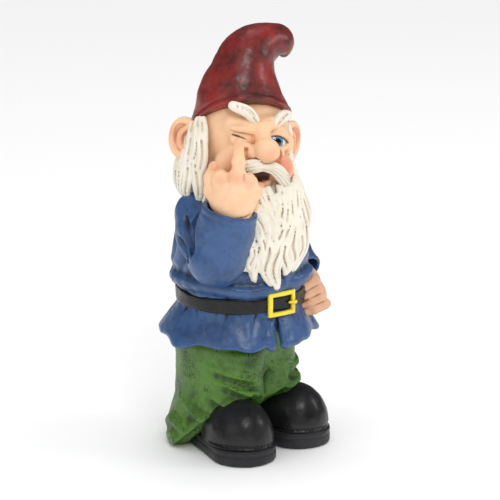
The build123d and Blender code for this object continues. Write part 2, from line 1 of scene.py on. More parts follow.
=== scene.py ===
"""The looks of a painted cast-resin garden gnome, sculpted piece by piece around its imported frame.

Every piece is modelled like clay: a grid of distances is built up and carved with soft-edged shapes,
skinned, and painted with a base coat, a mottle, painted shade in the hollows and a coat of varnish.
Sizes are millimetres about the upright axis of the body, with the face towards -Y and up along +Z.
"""

from __future__ import annotations

import logging
import math
from dataclasses import dataclass
from enum import Enum
from itertools import product
from typing import Iterable, Sequence

import bpy
import numpy as np
from mathutils import Matrix, Vector

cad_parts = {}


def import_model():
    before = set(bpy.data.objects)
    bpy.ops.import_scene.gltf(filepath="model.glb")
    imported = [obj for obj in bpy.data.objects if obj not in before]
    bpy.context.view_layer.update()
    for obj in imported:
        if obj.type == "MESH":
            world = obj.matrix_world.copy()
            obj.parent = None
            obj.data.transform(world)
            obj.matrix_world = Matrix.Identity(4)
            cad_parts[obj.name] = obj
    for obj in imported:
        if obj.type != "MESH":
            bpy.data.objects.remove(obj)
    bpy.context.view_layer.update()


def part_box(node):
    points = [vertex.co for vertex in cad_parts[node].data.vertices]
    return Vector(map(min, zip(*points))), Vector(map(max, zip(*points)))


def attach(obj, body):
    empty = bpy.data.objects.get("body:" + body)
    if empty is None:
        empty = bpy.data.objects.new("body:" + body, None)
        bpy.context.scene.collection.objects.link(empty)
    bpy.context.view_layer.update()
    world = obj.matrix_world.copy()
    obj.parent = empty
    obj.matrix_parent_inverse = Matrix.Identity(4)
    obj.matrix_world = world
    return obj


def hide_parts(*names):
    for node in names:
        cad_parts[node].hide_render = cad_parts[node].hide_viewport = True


LOG = logging.getLogger("gnome")
MM = 0.001
Point = Sequence[float]


class Slot(Enum):
    """The record's material slots."""

    SOLE = "sole_black"
    BOOT = "boot_black"
    TROUSERS = "trouser_green"
    JACKET = "jacket_blue"
    BELT = "belt_black"
    BUCKLE = "buckle_yellow"
    SKIN = "skin"
    EYE = "eye_white"
    HAIR = "hair_ivory"
    HAT = "hat_red"


class Side(Enum):
    """The gnome's own two sides, valued by the sign of their X."""

    RIGHT = -1
    LEFT = 1


# ---------------------------------------------------------------- numbers
def smooth_path(points: Sequence[Point], steps: int = 6) -> np.ndarray:
    """Runs a smooth curve through points of any number of coordinates.

    Args:
        points: the points that the curve passes through.
        steps: how many stretches lie between one point and the next.

    Returns:
        The curve's points, one a row.
    """
    given = np.asarray(points, float)
    padded = np.vstack([2 * given[0] - given[1], given, 2 * given[-1] - given[-2]])
    rows = []
    for before, start, end, after in zip(padded, padded[1:], padded[2:], padded[3:]):
        for t in np.arange(steps) / steps:
            rows.append(
                start
                + 0.5 * t * (end - before)
                + t * t * (before - 2.5 * start + 2 * end - 0.5 * after)
                + t**3 * (-0.5 * before + 1.5 * start - 1.5 * end + 0.5 * after)
            )
    rows.append(given[-1])
    return np.array(rows)


def lump_noise(points: np.ndarray, size: float, seed: int) -> np.ndarray:
    """Smooth noise between -1 and 1.

    Args:
        points: where it is wanted, one a row.
        size: how far apart its lumps are.
        seed: which pattern of lumps.

    Returns:
        One value a point.
    """
    scaled = points / size + 31.7 * seed
    base = np.floor(scaled).astype(np.int64)
    part = scaled - base
    part = part * part * (3 - 2 * part)
    total = np.zeros(len(points))
    for corner in product((0, 1), repeat=3):
        mixed = (base + corner) @ np.array([73856093, 19349663, 83492791]) + seed * 7919
        mixed = (mixed ^ (mixed >> 13)) * 1274126177
        mixed = mixed ^ (mixed >> 16)
        weight = np.prod(np.where(corner, part, 1 - part), axis=1)
        total += weight * ((mixed & 0xFFFF) / 32767.5 - 1)
    return total


def soft_min(one: np.ndarray, other: np.ndarray, soft: float) -> np.ndarray:
    """The lower of two fields, with their meeting rounded over a distance.

    Args:
        one: the first field.
        other: the second.
        soft: that distance.

    Returns:
        The joined field.
    """
    if soft <= 0:
        return np.minimum(one, other)
    blend = np.maximum(soft - np.abs(one - other), 0) / soft
    return np.minimum(one, other) - blend * blend * soft / 4


def spin(axis: str, degrees: float) -> np.ndarray:
    """The 3 by 3 matrix that turns points about a named axis."""
    return np.array(Matrix.Rotation(math.radians(degrees), 3, axis))


@dataclass(frozen=True)
class Place:
    """Where a piece's own frame stands on the body: a turn, then a shift."""

    centre: tuple[float, float, float] = (0.0, 0.0, 0.0)
    turn: tuple[tuple[float, ...], ...] = ((1.0, 0.0, 0.0), (0.0, 1.0, 0.0), (0.0, 0.0, 1.0))

    @classmethod
    def of(cls, centre: Point, turn: np.ndarray) -> "Place":
        """A place from a point and a matrix."""
        return cls(tuple(centre), tuple(tuple(row) for row in np.asarray(turn).tolist()))

    @classmethod
    def facing(cls, centre: Point, across: Point, normal: Point) -> "Place":
        """A place whose x runs across, and whose z runs along normal as nearly as it can.

        Args:
            centre: where it stands.
            across: the way of its x.
            normal: the way its z is to take.

        Returns:
            The place.
        """
        x = np.array(across, float) / np.linalg.norm(across)
        z = np.array(normal, float)
        z -= x * (z @ x)
        z /= np.linalg.norm(z)
        return cls.of(centre, np.stack([x, np.cross(z, x), z], axis=1))

    def out(self, points: np.ndarray) -> np.ndarray:
        """Takes points from the piece's own frame to the body's."""
        return np.asarray(points, float) @ np.array(self.turn).T + self.centre

    def within(self, points: np.ndarray) -> np.ndarray:
        """Takes points from the body's frame to the piece's own."""
        return (np.asarray(points, float) - self.centre) @ np.array(self.turn)


# ---------------------------------------------------------------- clay
class Clay:
    """A block of space on a regular grid, holding the distance to the surface of what is modelled."""

    EMPTY = 30.0

    def __init__(self, low: Point, high: Point, step: float) -> None:
        """Makes an empty block.

        Args:
            low: its lowest corner.
            high: its highest corner.
            step: the grid's spacing.
        """
        self.low = np.array(low, float)
        self.step = step
        self.count = np.ceil((np.array(high, float) - self.low) / step).astype(int) + 1
        self.value = np.full(self.count, self.EMPTY, np.float32)

    def block(self, low: np.ndarray, high: np.ndarray) -> tuple[tuple[slice, ...], np.ndarray]:
        """The part of the grid between two corners, as slices and the points in it.

        Args:
            low: the lowest corner.
            high: the highest.

        Returns:
            The slices, and the points.
        """
        first = np.clip(np.floor((low - self.low) / self.step).astype(int), 0, self.count - 1)
        last = np.clip(np.ceil((high - self.low) / self.step).astype(int) + 1, first + 1, self.count)
        axes = [self.low[i] + self.step * np.arange(first[i], last[i]) for i in range(3)]
        points = np.stack(np.meshgrid(*axes, indexing="ij"), -1)
        return tuple(slice(a, b) for a, b in zip(first, last)), points

    def everywhere(self) -> np.ndarray:
        """All the points of the grid."""
        return self.block(self.low, self.low + self.step * self.count)[1]

    def merge(self, where: tuple[slice, ...], distance: np.ndarray, soft: float, carve: bool) -> None:
        """Adds a shape to the clay in part of the grid, or carves it out.

        Args:
            where: that part, as slices.
            distance: the distance from the shape at its points.
            soft: how far the join is rounded.
            carve: whether it is carved.
        """
        old = self.value[where]
        joined = -soft_min(-old, distance, soft) if carve else soft_min(old, distance, soft)
        self.value[where] = joined

    def strand(
        self, points: Sequence[Point], radii: Sequence[float], soft: float = 1.0, carve: bool = False
    ) -> "Clay":
        """Lays a round tapering strand along points, or carves it as a groove.

        Args:
            points: its middle line.
            radii: its radius at each point.
            soft: how far its joins to the rest are rounded.
            carve: whether it is cut away instead of added.

        Returns:
            The clay, so that calls can follow one another.
        """
        line = np.asarray(points, float)
        for start, end, near, far in zip(line, line[1:], radii, radii[1:]):
            reach = max(near, far) + soft + 2 * self.step
            where, at = self.block(np.minimum(start, end) - reach, np.maximum(start, end) + reach)
            along = end - start
            t = np.clip(((at - start) @ along) / max(along @ along, 1e-9), 0, 1)
            away = at - start - t[..., None] * along
            distance = np.sqrt((away * away).sum(-1)) - (near + t * (far - near))
            self.merge(where, distance, soft, carve)
        return self

    def fold(
        self,
        points: Sequence[Point],
        radius: float,
        soft: float,
        floor: float = 0.0,
        span: tuple[float, float] = (0.0, math.pi),
        carve: bool = False,
        steps: int = 5,
    ) -> "Clay":
        """Lays or carves a strand that runs smoothly through points and swells and thins like a sine.

        Args:
            points: the points that its middle line passes through.
            radius: its radius where it is thickest.
            soft: how far its joins are rounded.
            floor: the share of the radius that doesn't follow the sine.
            span: the sine's angles at its two ends, in radians.
            carve: whether it is cut away instead of added.
            steps: how many stretches lie between one point and the next.

        Returns:
            The clay.
        """
        path = smooth_path(points, steps)
        wave = np.sin(np.linspace(*span, len(path)))
        return self.strand(path, radius * (floor + (1 - floor) * wave), soft, carve)

    def egg(
        self,
        centre: Point,
        half: Point,
        turn: np.ndarray | None = None,
        soft: float = 1.0,
        carve: bool = False,
    ) -> "Clay":
        """Adds an ellipsoid, or carves it.

        Args:
            centre: its middle.
            half: its three half sizes.
            turn: the matrix that turns its axes.
            soft: how far its joins are rounded.
            carve: whether it is cut away instead of added.

        Returns:
            The clay.
        """
        sizes = np.array(half, float)
        reach = sizes.max() + soft + 2 * self.step
        middle = np.array(centre, float)
        where, at = self.block(middle - reach, middle + reach)
        at = at - middle
        if turn is not None:
            at = at @ turn
        inner = np.sqrt(((at / sizes) ** 2).sum(-1))
        slope = np.sqrt(((at / sizes**2) ** 2).sum(-1))
        self.merge(where, inner * (inner - 1) / np.maximum(slope, 1e-6), soft, carve)
        return self

    def tower(
        self, rings: Sequence[Point], soft: float = 2.0, carve: bool = False, edge: float = 1.5
    ) -> "Clay":
        """Adds a solid of level ellipses, one above another.

        Args:
            rings: (height, middle x, middle y, half width, half depth) of each, from the bottom up.
            soft: how far its joins to the rest are rounded.
            carve: whether it is cut away instead of added.
            edge: the roundness of its top and bottom edges.

        Returns:
            The clay.
        """
        curve = smooth_path(rings, 8)
        at = self.everywhere()
        height = at[..., 2]
        middle_x, middle_y, width, depth = (np.interp(height, curve[:, 0], curve[:, i]) for i in range(1, 5))
        x = (at[..., 0] - middle_x) / width
        y = (at[..., 1] - middle_y) / depth
        side = (np.sqrt(x * x + y * y) - 1) * (width + depth) / 2
        level = np.abs(height - (curve[0, 0] + curve[-1, 0]) / 2) - (curve[-1, 0] - curve[0, 0]) / 2
        shape = -soft_min(-side, -level, edge)
        self.merge((slice(None),) * 3, shape, soft, carve)
        return self

    def cut(self, point: Point, direction: Point, soft: float = 1.0) -> "Clay":
        """Cuts away all that is past a plane through point, on the side of direction.

        Args:
            point: a point of the plane.
            direction: the way across it, outwards.
            soft: how far its edge is rounded.

        Returns:
            The clay.
        """
        way = np.array(direction, float) / np.linalg.norm(direction)
        past = (self.everywhere() - np.array(point, float)) @ way
        self.value = -soft_min(-self.value, -past, soft)
        return self

    def hollows(self, reach: float) -> np.ndarray:
        """The clay blurred over a reach: below nought on the surface in a hollow, above it on a ridge.

        Args:
            reach: how far it is blurred.

        Returns:
            The blurred field.
        """
        blurred = np.clip(self.value, -2 * reach, 2 * reach)
        for _ in range(max(1, round((reach / self.step) ** 2))):
            for axis in range(3):
                blurred = 0.5 * blurred + 0.25 * (np.roll(blurred, 1, axis) + np.roll(blurred, -1, axis))
        return blurred

    def read(self, values: np.ndarray, points: np.ndarray) -> np.ndarray:
        """Reads a field on the grid at any points between its own.

        Args:
            values: the field.
            points: where it is read.

        Returns:
            Its value at each point.
        """
        scaled = np.clip((points - self.low) / self.step, 0, np.array(self.count) - 1.001)
        base = scaled.astype(int)
        part = scaled - base
        total = np.zeros(len(points))
        for corner in product((0, 1), repeat=3):
            i, j, k = (base + corner).T
            total += np.prod(np.where(corner, part, 1 - part), axis=1) * values[i, j, k]
        return total

    def skin(self) -> tuple[np.ndarray, np.ndarray]:
        """Meshes the surface: one point a cell that it crosses, one four-sided face an edge.

        Returns:
            The points, and the faces as rows of four point numbers.
        """
        value = self.value
        cells = tuple(n - 1 for n in value.shape)
        total = np.zeros((*cells, 3), np.float32)
        hits = np.zeros(cells, np.float32)
        crossings = []
        for axis in range(3):
            low = value.take(range(cells[axis]), axis)
            high = value.take(range(1, cells[axis] + 1), axis)
            crossed = (low < 0) != (high < 0)
            t = np.where(crossed, low / np.where(crossed, low - high, 1), 0)
            crossings.append((crossed, low < 0))
            others = [i for i in range(3) if i != axis]
            for shift in product((0, 1), repeat=2):
                part = [slice(0, cells[i]) for i in range(3)]
                for other, offset in zip(others, shift):
                    part[other] = slice(offset, offset + cells[other])
                here = crossed[tuple(part)]
                hits += here
                total[..., axis] += np.where(here, t[tuple(part)], 0)
                for other, offset in zip(others, shift):
                    total[..., other] += here * offset
        busy = hits > 0
        number = np.full(cells, -1)
        number[busy] = np.arange(busy.sum())
        inside_cell = total[busy] / hits[busy][:, None]
        points = self.low + self.step * (np.argwhere(busy) + inside_cell)
        faces = []
        for axis, (crossed, starts_inside) in enumerate(crossings):
            first, second = [i for i in (1, 2, 0, 1)[axis : axis + 2]]
            spots = np.argwhere(crossed)
            keep = (spots[:, first] > 0) & (spots[:, second] > 0)
            keep &= (spots[:, first] < cells[first]) & (spots[:, second] < cells[second])
            spots = spots[keep]
            corners = []
            for back in ((1, 1), (0, 1), (0, 0), (1, 0)):
                cell = spots.copy()
                cell[:, first] -= back[0]
                cell[:, second] -= back[1]
                corners.append(number[tuple(cell.T)])
            quads = np.stack(corners, axis=1)
            outwards = starts_inside[tuple(spots.T)]
            quads[~outwards] = quads[~outwards][:, ::-1]
            faces.append(quads)
        return points, np.vstack(faces)


def point_normals(points: np.ndarray, faces: np.ndarray) -> np.ndarray:
    """The outward direction at each point of a mesh of four-sided faces.

    Args:
        points: its points.
        faces: its faces, as rows of point numbers.

    Returns:
        The unit directions.
    """
    across = points[faces[:, 2]] - points[faces[:, 0]]
    along = points[faces[:, 3]] - points[faces[:, 1]]
    facing = np.cross(across, along)
    total = np.stack(
        [
            sum(np.bincount(faces[:, i], facing[:, axis], len(points)) for i in range(4))
            for axis in range(3)
        ],
        axis=1,
    )
    return total / np.maximum(np.linalg.norm(total, axis=1), 1e-9)[:, None]


@dataclass(frozen=True)
class Dab:
    """A round patch of another tint, in a piece's own frame."""

    centre: tuple[float, float, float]
    radius: float
    strength: float = 1.0


class Studio:
    """Turns clay into pieces that stand on the frame."""

    def __init__(self) -> None:
        """Finds the upright axis of the body from the belt, which goes round it."""
        low, high = (np.array(corner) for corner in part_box("belt"))
        middle = (low + high) / 2
        self.axis = np.array([middle[0], middle[1], 0.0])

    def to_world(self, points: np.ndarray) -> np.ndarray:
        """Takes millimetres about the body's axis to metres in the frame."""
        return np.asarray(points) * MM + self.axis

    def piece(
        self,
        name: str,
        clay: Clay,
        node: str,
        material: bpy.types.Material,
        place: Place = Place(),
        lumps: Sequence[tuple[float, float]] = ((6.0, 0.18), (2.2, 0.08)),
        dabs: Iterable[Dab] = (),
        stains: Iterable[Dab] = (),
        reach: float = 1.6,
    ) -> bpy.types.Object:
        """Skins clay as a painted piece that stands for a node.

        Args:
            name: the piece's name.
            clay: what was modelled, in the piece's own frame.
            node: the node that it stands for.
            material: its paint.
            place: where its own frame stands.
            lumps: the (size, height) of each layer of hand-made unevenness.
            dabs: patches of blush.
            stains: patches of the darkest paint.
            reach: how wide the hollows are that take the painted shade.

        Returns:
            The new object.
        """
        points, faces = clay.skin()
        normals = point_normals(points, faces)
        # Relief is highest in hollows, where the paints lay painted shade.
        relief = -clay.read(clay.hollows(reach), points)
        for number, (size, height) in enumerate(lumps):
            points = points + normals * (height * lump_noise(points, size, 3 + number))[:, None]
        blush = np.zeros(len(points))
        for dab in dabs:
            far = np.linalg.norm(points - dab.centre, axis=1) / dab.radius
            blush = np.maximum(blush, dab.strength * np.clip(1.5 - 1.5 * far, 0, 1))
        stain = np.zeros(len(points))
        for dab in stains:
            far = np.linalg.norm(points - dab.centre, axis=1) / dab.radius
            stain = np.maximum(stain, dab.strength * np.clip(4 - 4 * far, 0, 1))
        mesh = bpy.data.meshes.new(name)
        world = self.to_world(place.out(points))
        mesh.vertices.add(len(world))
        mesh.vertices.foreach_set("co", world.ravel())
        mesh.loops.add(faces.size)
        mesh.loops.foreach_set("vertex_index", faces.ravel())
        mesh.polygons.add(len(faces))
        mesh.polygons.foreach_set("loop_start", np.arange(0, faces.size, 4))
        mesh.polygons.foreach_set("use_smooth", np.ones(len(faces), bool))
        for label, values in (("relief", relief), ("blush", blush), ("stain", stain)):
            mesh.attributes.new(label, "FLOAT", "POINT").data.foreach_set("value", values)
        mesh.update(calc_edges=True)
        mesh.validate()
        mesh.materials.append(material)
        made = bpy.data.objects.new(name, mesh)
        bpy.context.scene.collection.objects.link(made)
        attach(made, "root")
        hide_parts(node)
        LOG.info("%s: %d faces", name, len(faces))
        return made


# ---------------------------------------------------------------- paint
class Shades:
    """Node groups that the paints share, each made once."""

    def __init__(self) -> None:
        """Builds the groups."""
        self.mottle = self._mottle()
        self.shade_and_stipple = self._shade_and_stipple()
        self.varnish = self._varnish()

    @staticmethod
    def _group(name: str, inputs: dict[str, object], outputs: dict[str, str]) -> bpy.types.NodeTree:
        """Makes an empty group with named sockets.

        Args:
            name: the group's name.
            inputs: the default value of each input, a number or a colour.
            outputs: the socket kind of each output.

        Returns:
            The group's tree.
        """
        tree = bpy.data.node_groups.new(name, "ShaderNodeTree")
        for label, value in inputs.items():
            kind = "NodeSocketColor" if isinstance(value, tuple) else "NodeSocketFloat"
            socket = tree.interface.new_socket(label, in_out="INPUT", socket_type=kind)
            socket.default_value = value
        for label, kind in outputs.items():
            tree.interface.new_socket(label, in_out="OUTPUT", socket_type=kind)
        tree.nodes.new("NodeGroupInput").name = "in"
        tree.nodes.new("NodeGroupOutput").name = "out"
        return tree

    @staticmethod
    def noise(tree: bpy.types.NodeTree, scale: float, detail: float, stretch: Point = (1, 1, 1)) -> object:
        """A noise over the object's own coordinates, in lumps a metre, and its value's socket.

        Args:
            tree: the tree to add it to.
            scale: lumps a metre.
            detail: how many finer noises it holds.
            stretch: its scale along each axis.

        Returns:
            The socket that gives it.
        """
        where = tree.nodes.new("ShaderNodeTexCoord")
        shape = tree.nodes.new("ShaderNodeMapping")
        shape.inputs["Scale"].default_value = stretch
        grain = tree.nodes.new("ShaderNodeTexNoise")
        grain.inputs["Scale"].default_value = scale
        grain.inputs["Detail"].default_value = detail
        grain.inputs["Roughness"].default_value = 0.6
        tree.links.new(where.outputs["Object"], shape.inputs["Vector"])
        tree.links.new(shape.outputs["Vector"], grain.inputs["Vector"])
        return grain.outputs["Fac"]

    @staticmethod
    def ramp(tree: bpy.types.NodeTree, value: object, low: object, high: object) -> object:
        """A smooth step of a value between two levels, which are numbers or sockets.

        Args:
            tree: the tree to add it to.
            value: the value.
            low: where the step starts.
            high: where it ends.

        Returns:
            The socket that gives it.
        """
        step = tree.nodes.new("ShaderNodeMapRange")
        step.interpolation_type = "SMOOTHSTEP"
        tree.links.new(value, step.inputs["Value"])
        for label, level in (("From Min", low), ("From Max", high)):
            if isinstance(level, (int, float)):
                step.inputs[label].default_value = level
            else:
                tree.links.new(level, step.inputs[label])
        return step.outputs["Result"]

    @staticmethod
    def sum(tree: bpy.types.NodeTree, kind: str, one: object, other: object) -> object:
        """A maths node of two values, each a number or a socket.

        Args:
            tree: the tree to add it to.
            kind: the name of the operation.
            one: the first value.
            other: the second.

        Returns:
            The socket that gives it.
        """
        node = tree.nodes.new("ShaderNodeMath")
        node.operation = kind
        for socket, value in zip(node.inputs, (one, other)):
            if isinstance(value, (int, float)):
                socket.default_value = value
            else:
                tree.links.new(value, socket)
        return node.outputs[0]

    @staticmethod
    def mix(tree: bpy.types.NodeTree, amount: object, one: object, other: object) -> object:
        """A mix of two colours by an amount; each may be a value or a socket.

        Args:
            tree: the tree to add it to.
            amount: the share of the second.
            one: the first colour.
            other: the second.

        Returns:
            The socket that gives it.
        """
        node = tree.nodes.new("ShaderNodeMix")
        node.data_type = "RGBA"
        for label, value in zip((0, 6, 7), (amount, one, other)):
            if isinstance(value, (int, float)):
                node.inputs[label].default_value = value
            elif isinstance(value, tuple):
                node.inputs[label].default_value = (*value[:3], 1)
            else:
                tree.links.new(value, node.inputs[label])
        return node.outputs[2]

    @staticmethod
    def painted(tree: bpy.types.NodeTree, name: str) -> object:
        """A value that the modeller left on the clay, by name.

        Args:
            tree: the tree to add it to.
            name: the attribute's name.

        Returns:
            The socket that gives it.
        """
        node = tree.nodes.new("ShaderNodeAttribute")
        node.attribute_name = name
        return node.outputs["Fac"]

    def _mottle(self) -> bpy.types.NodeTree:
        """Two coats that show through each other in cloudy patches.

        Returns:
            The group.
        """
        colours = {"Under": (0.1, 0.1, 0.1, 1), "Over": (0.5, 0.5, 0.5, 1)}
        tree = self._group(
            "paint_mottle", {**colours, "Cover": 0.5, "Spread": 0.2}, {"Color": "NodeSocketColor"}
        )
        given, out = tree.nodes["in"].outputs, tree.nodes["out"].inputs
        cloud = self.noise(tree, 42, 6)
        fleck = self.noise(tree, 210, 3)
        cloud_share = self.sum(tree, "MULTIPLY", cloud, 0.7)
        fleck_share = self.sum(tree, "MULTIPLY", fleck, 0.3)
        both = self.sum(tree, "ADD", cloud_share, fleck_share)
        low = self.sum(tree, "SUBTRACT", given["Cover"], given["Spread"])
        high = self.sum(tree, "ADD", given["Cover"], given["Spread"])
        tree.links.new(
            self.mix(tree, self.ramp(tree, both, low, high), given["Under"], given["Over"]), out["Color"]
        )
        return tree

    def _shade_and_stipple(self) -> bpy.types.NodeTree:
        """Painted shade that darkens the hollows, and a stipple of dark paint dots on the open surface.

        Returns:
            The group.
        """
        colours = {"Color": (0.5, 0.5, 0.5, 1), "Shade_and_stipple": (0.05, 0.03, 0.02, 1)}
        tree = self._group(
            "painted_shade_and_stipple",
            {**colours, "Depth": 0.5, "Strength": 0.9, "Speckle": 0.0},
            {"Color": "NodeSocketColor", "Mask": "NodeSocketFloat"},
        )
        given, out = tree.nodes["in"].outputs, tree.nodes["out"].inputs
        # The relief mask darkens the hollows: painted shade.
        relief = self.painted(tree, "relief")
        broken = self.sum(tree, "MULTIPLY", self.noise(tree, 160, 4), 0.22)
        shaded = self.sum(tree, "ADD", relief, self.sum(tree, "SUBTRACT", broken, 0.11))
        mask = self.ramp(tree, shaded, 0.03, given["Depth"])
        mask = self.sum(tree, "MULTIPLY", mask, given["Strength"])
        # Stippled dots of dark paint over patches of the open surface: real paint.
        dots = self.ramp(tree, self.noise(tree, 560, 3), 0.53, 0.62)
        patches = self.ramp(tree, self.noise(tree, 60, 3), 0.40, 0.62)
        dots = self.sum(tree, "MULTIPLY", self.sum(tree, "MULTIPLY", dots, patches), given["Speckle"])
        mask = self.sum(tree, "MAXIMUM", mask, dots)
        tree.links.new(self.mix(tree, mask, given["Color"], given["Shade_and_stipple"]), out["Color"])
        tree.links.new(mask, out["Mask"])
        return tree

    def _varnish(self) -> bpy.types.NodeTree:
        """How rough a brushed varnish is, and the fine texture under it.

        Returns:
            The group.
        """
        tree = self._group(
            "brushed_varnish",
            {"Roughness": 0.4, "Patchiness": 0.12, "Texture": 1.0, "Mask": 0.0},
            {"Roughness": "NodeSocketFloat", "Height": "NodeSocketFloat"},
        )
        given, out = tree.nodes["in"].outputs, tree.nodes["out"].inputs
        patch = self.sum(tree, "SUBTRACT", self.noise(tree, 90, 4), 0.5)
        patch = self.sum(tree, "MULTIPLY", patch, given["Patchiness"])
        rough = self.sum(tree, "ADD", given["Roughness"], self.sum(tree, "MULTIPLY", patch, 2.0))
        rough = self.sum(tree, "ADD", rough, self.sum(tree, "MULTIPLY", given["Mask"], 0.15))
        tree.links.new(rough, out["Roughness"])
        grain = self.sum(tree, "MULTIPLY", self.noise(tree, 900, 4), 0.4)
        swell = self.noise(tree, 260, 3)
        height = self.sum(tree, "MULTIPLY", self.sum(tree, "ADD", grain, swell), given["Texture"])
        tree.links.new(height, out["Height"])
        return tree


@dataclass(frozen=True)
class Paint:
    """One finish: two coats, painted shade in the hollows, a blush, a stain and a varnish."""

    name: str
    under: tuple[float, float, float]
    over: tuple[float, float, float]
    shade_and_stipple: tuple[float, float, float]
    blush: tuple[float, float, float] = (0.7, 0.2, 0.15)
    stain: tuple[float, float, float] = (0.05, 0.015, 0.01)
    cover: float = 0.5
    spread: float = 0.12
    depth: float = 0.5
    strength: float = 0.9
    speckle: float = 0.0
    roughness: float = 0.4
    patchiness: float = 0.12
    texture: float = 0.5
    coat: float = 0.3
    coat_roughness: float = 0.25
    specular: float = 0.5
    flesh: float = 0.0

    def mix(self, shades: Shades) -> bpy.types.Material:
        """Mixes the paint as a material.

        Args:
            shades: the node groups to mix it from.

        Returns:
            The material.
        """
        made = bpy.data.materials.new(self.name)
        made.use_nodes = True
        tree = made.node_tree
        surface = tree.nodes["Principled BSDF"]

        def placed(group: bpy.types.NodeTree, values: dict[str, object]) -> bpy.types.Node:
            """Places a group in the material with its own values.

            Args:
                group: the group.
                values: its values, by label.

            Returns:
                The node.
            """
            node = tree.nodes.new("ShaderNodeGroup")
            node.node_tree = group
            for label, value in values.items():
                node.inputs[label].default_value = (*value, 1) if isinstance(value, tuple) else value
            return node

        coats = placed(
            shades.mottle,
            {"Under": self.under, "Over": self.over, "Cover": self.cover, "Spread": self.spread},
        )
        # The dark colour as painted shade in the hollows, and as stippled paint dots.
        shade_and_stipple = placed(
            shades.shade_and_stipple,
            {"Shade_and_stipple": self.shade_and_stipple, "Depth": self.depth, "Strength": self.strength, "Speckle": self.speckle},
        )
        varnish = placed(
            shades.varnish,
            {"Roughness": self.roughness, "Patchiness": self.patchiness, "Texture": self.texture},
        )
        blushed = shades.mix(tree, shades.painted(tree, "blush"), coats.outputs["Color"], self.blush)
        tree.links.new(blushed, shade_and_stipple.inputs["Color"])
        stained = shades.mix(tree, shades.painted(tree, "stain"), shade_and_stipple.outputs["Color"], self.stain)
        tree.links.new(stained, surface.inputs["Base Color"])
        tree.links.new(shade_and_stipple.outputs["Mask"], varnish.inputs["Mask"])
        tree.links.new(varnish.outputs["Roughness"], surface.inputs["Roughness"])
        bump = tree.nodes.new("ShaderNodeBump")
        bump.inputs["Distance"].default_value = 0.0004
        bump.inputs["Strength"].default_value = 0.6
        tree.links.new(varnish.outputs["Height"], bump.inputs["Height"])
        tree.links.new(bump.outputs["Normal"], surface.inputs["Normal"])
        surface.inputs["Coat Weight"].default_value = self.coat
        surface.inputs["Coat Roughness"].default_value = self.coat_roughness
        surface.inputs["Specular IOR Level"].default_value = self.specular
        if self.flesh:
            surface.inputs["Subsurface Weight"].default_value = self.flesh
            surface.inputs["Subsurface Radius"].default_value = (1.0, 0.5, 0.3)
            surface.inputs["Subsurface Scale"].default_value = 0.002
        return made


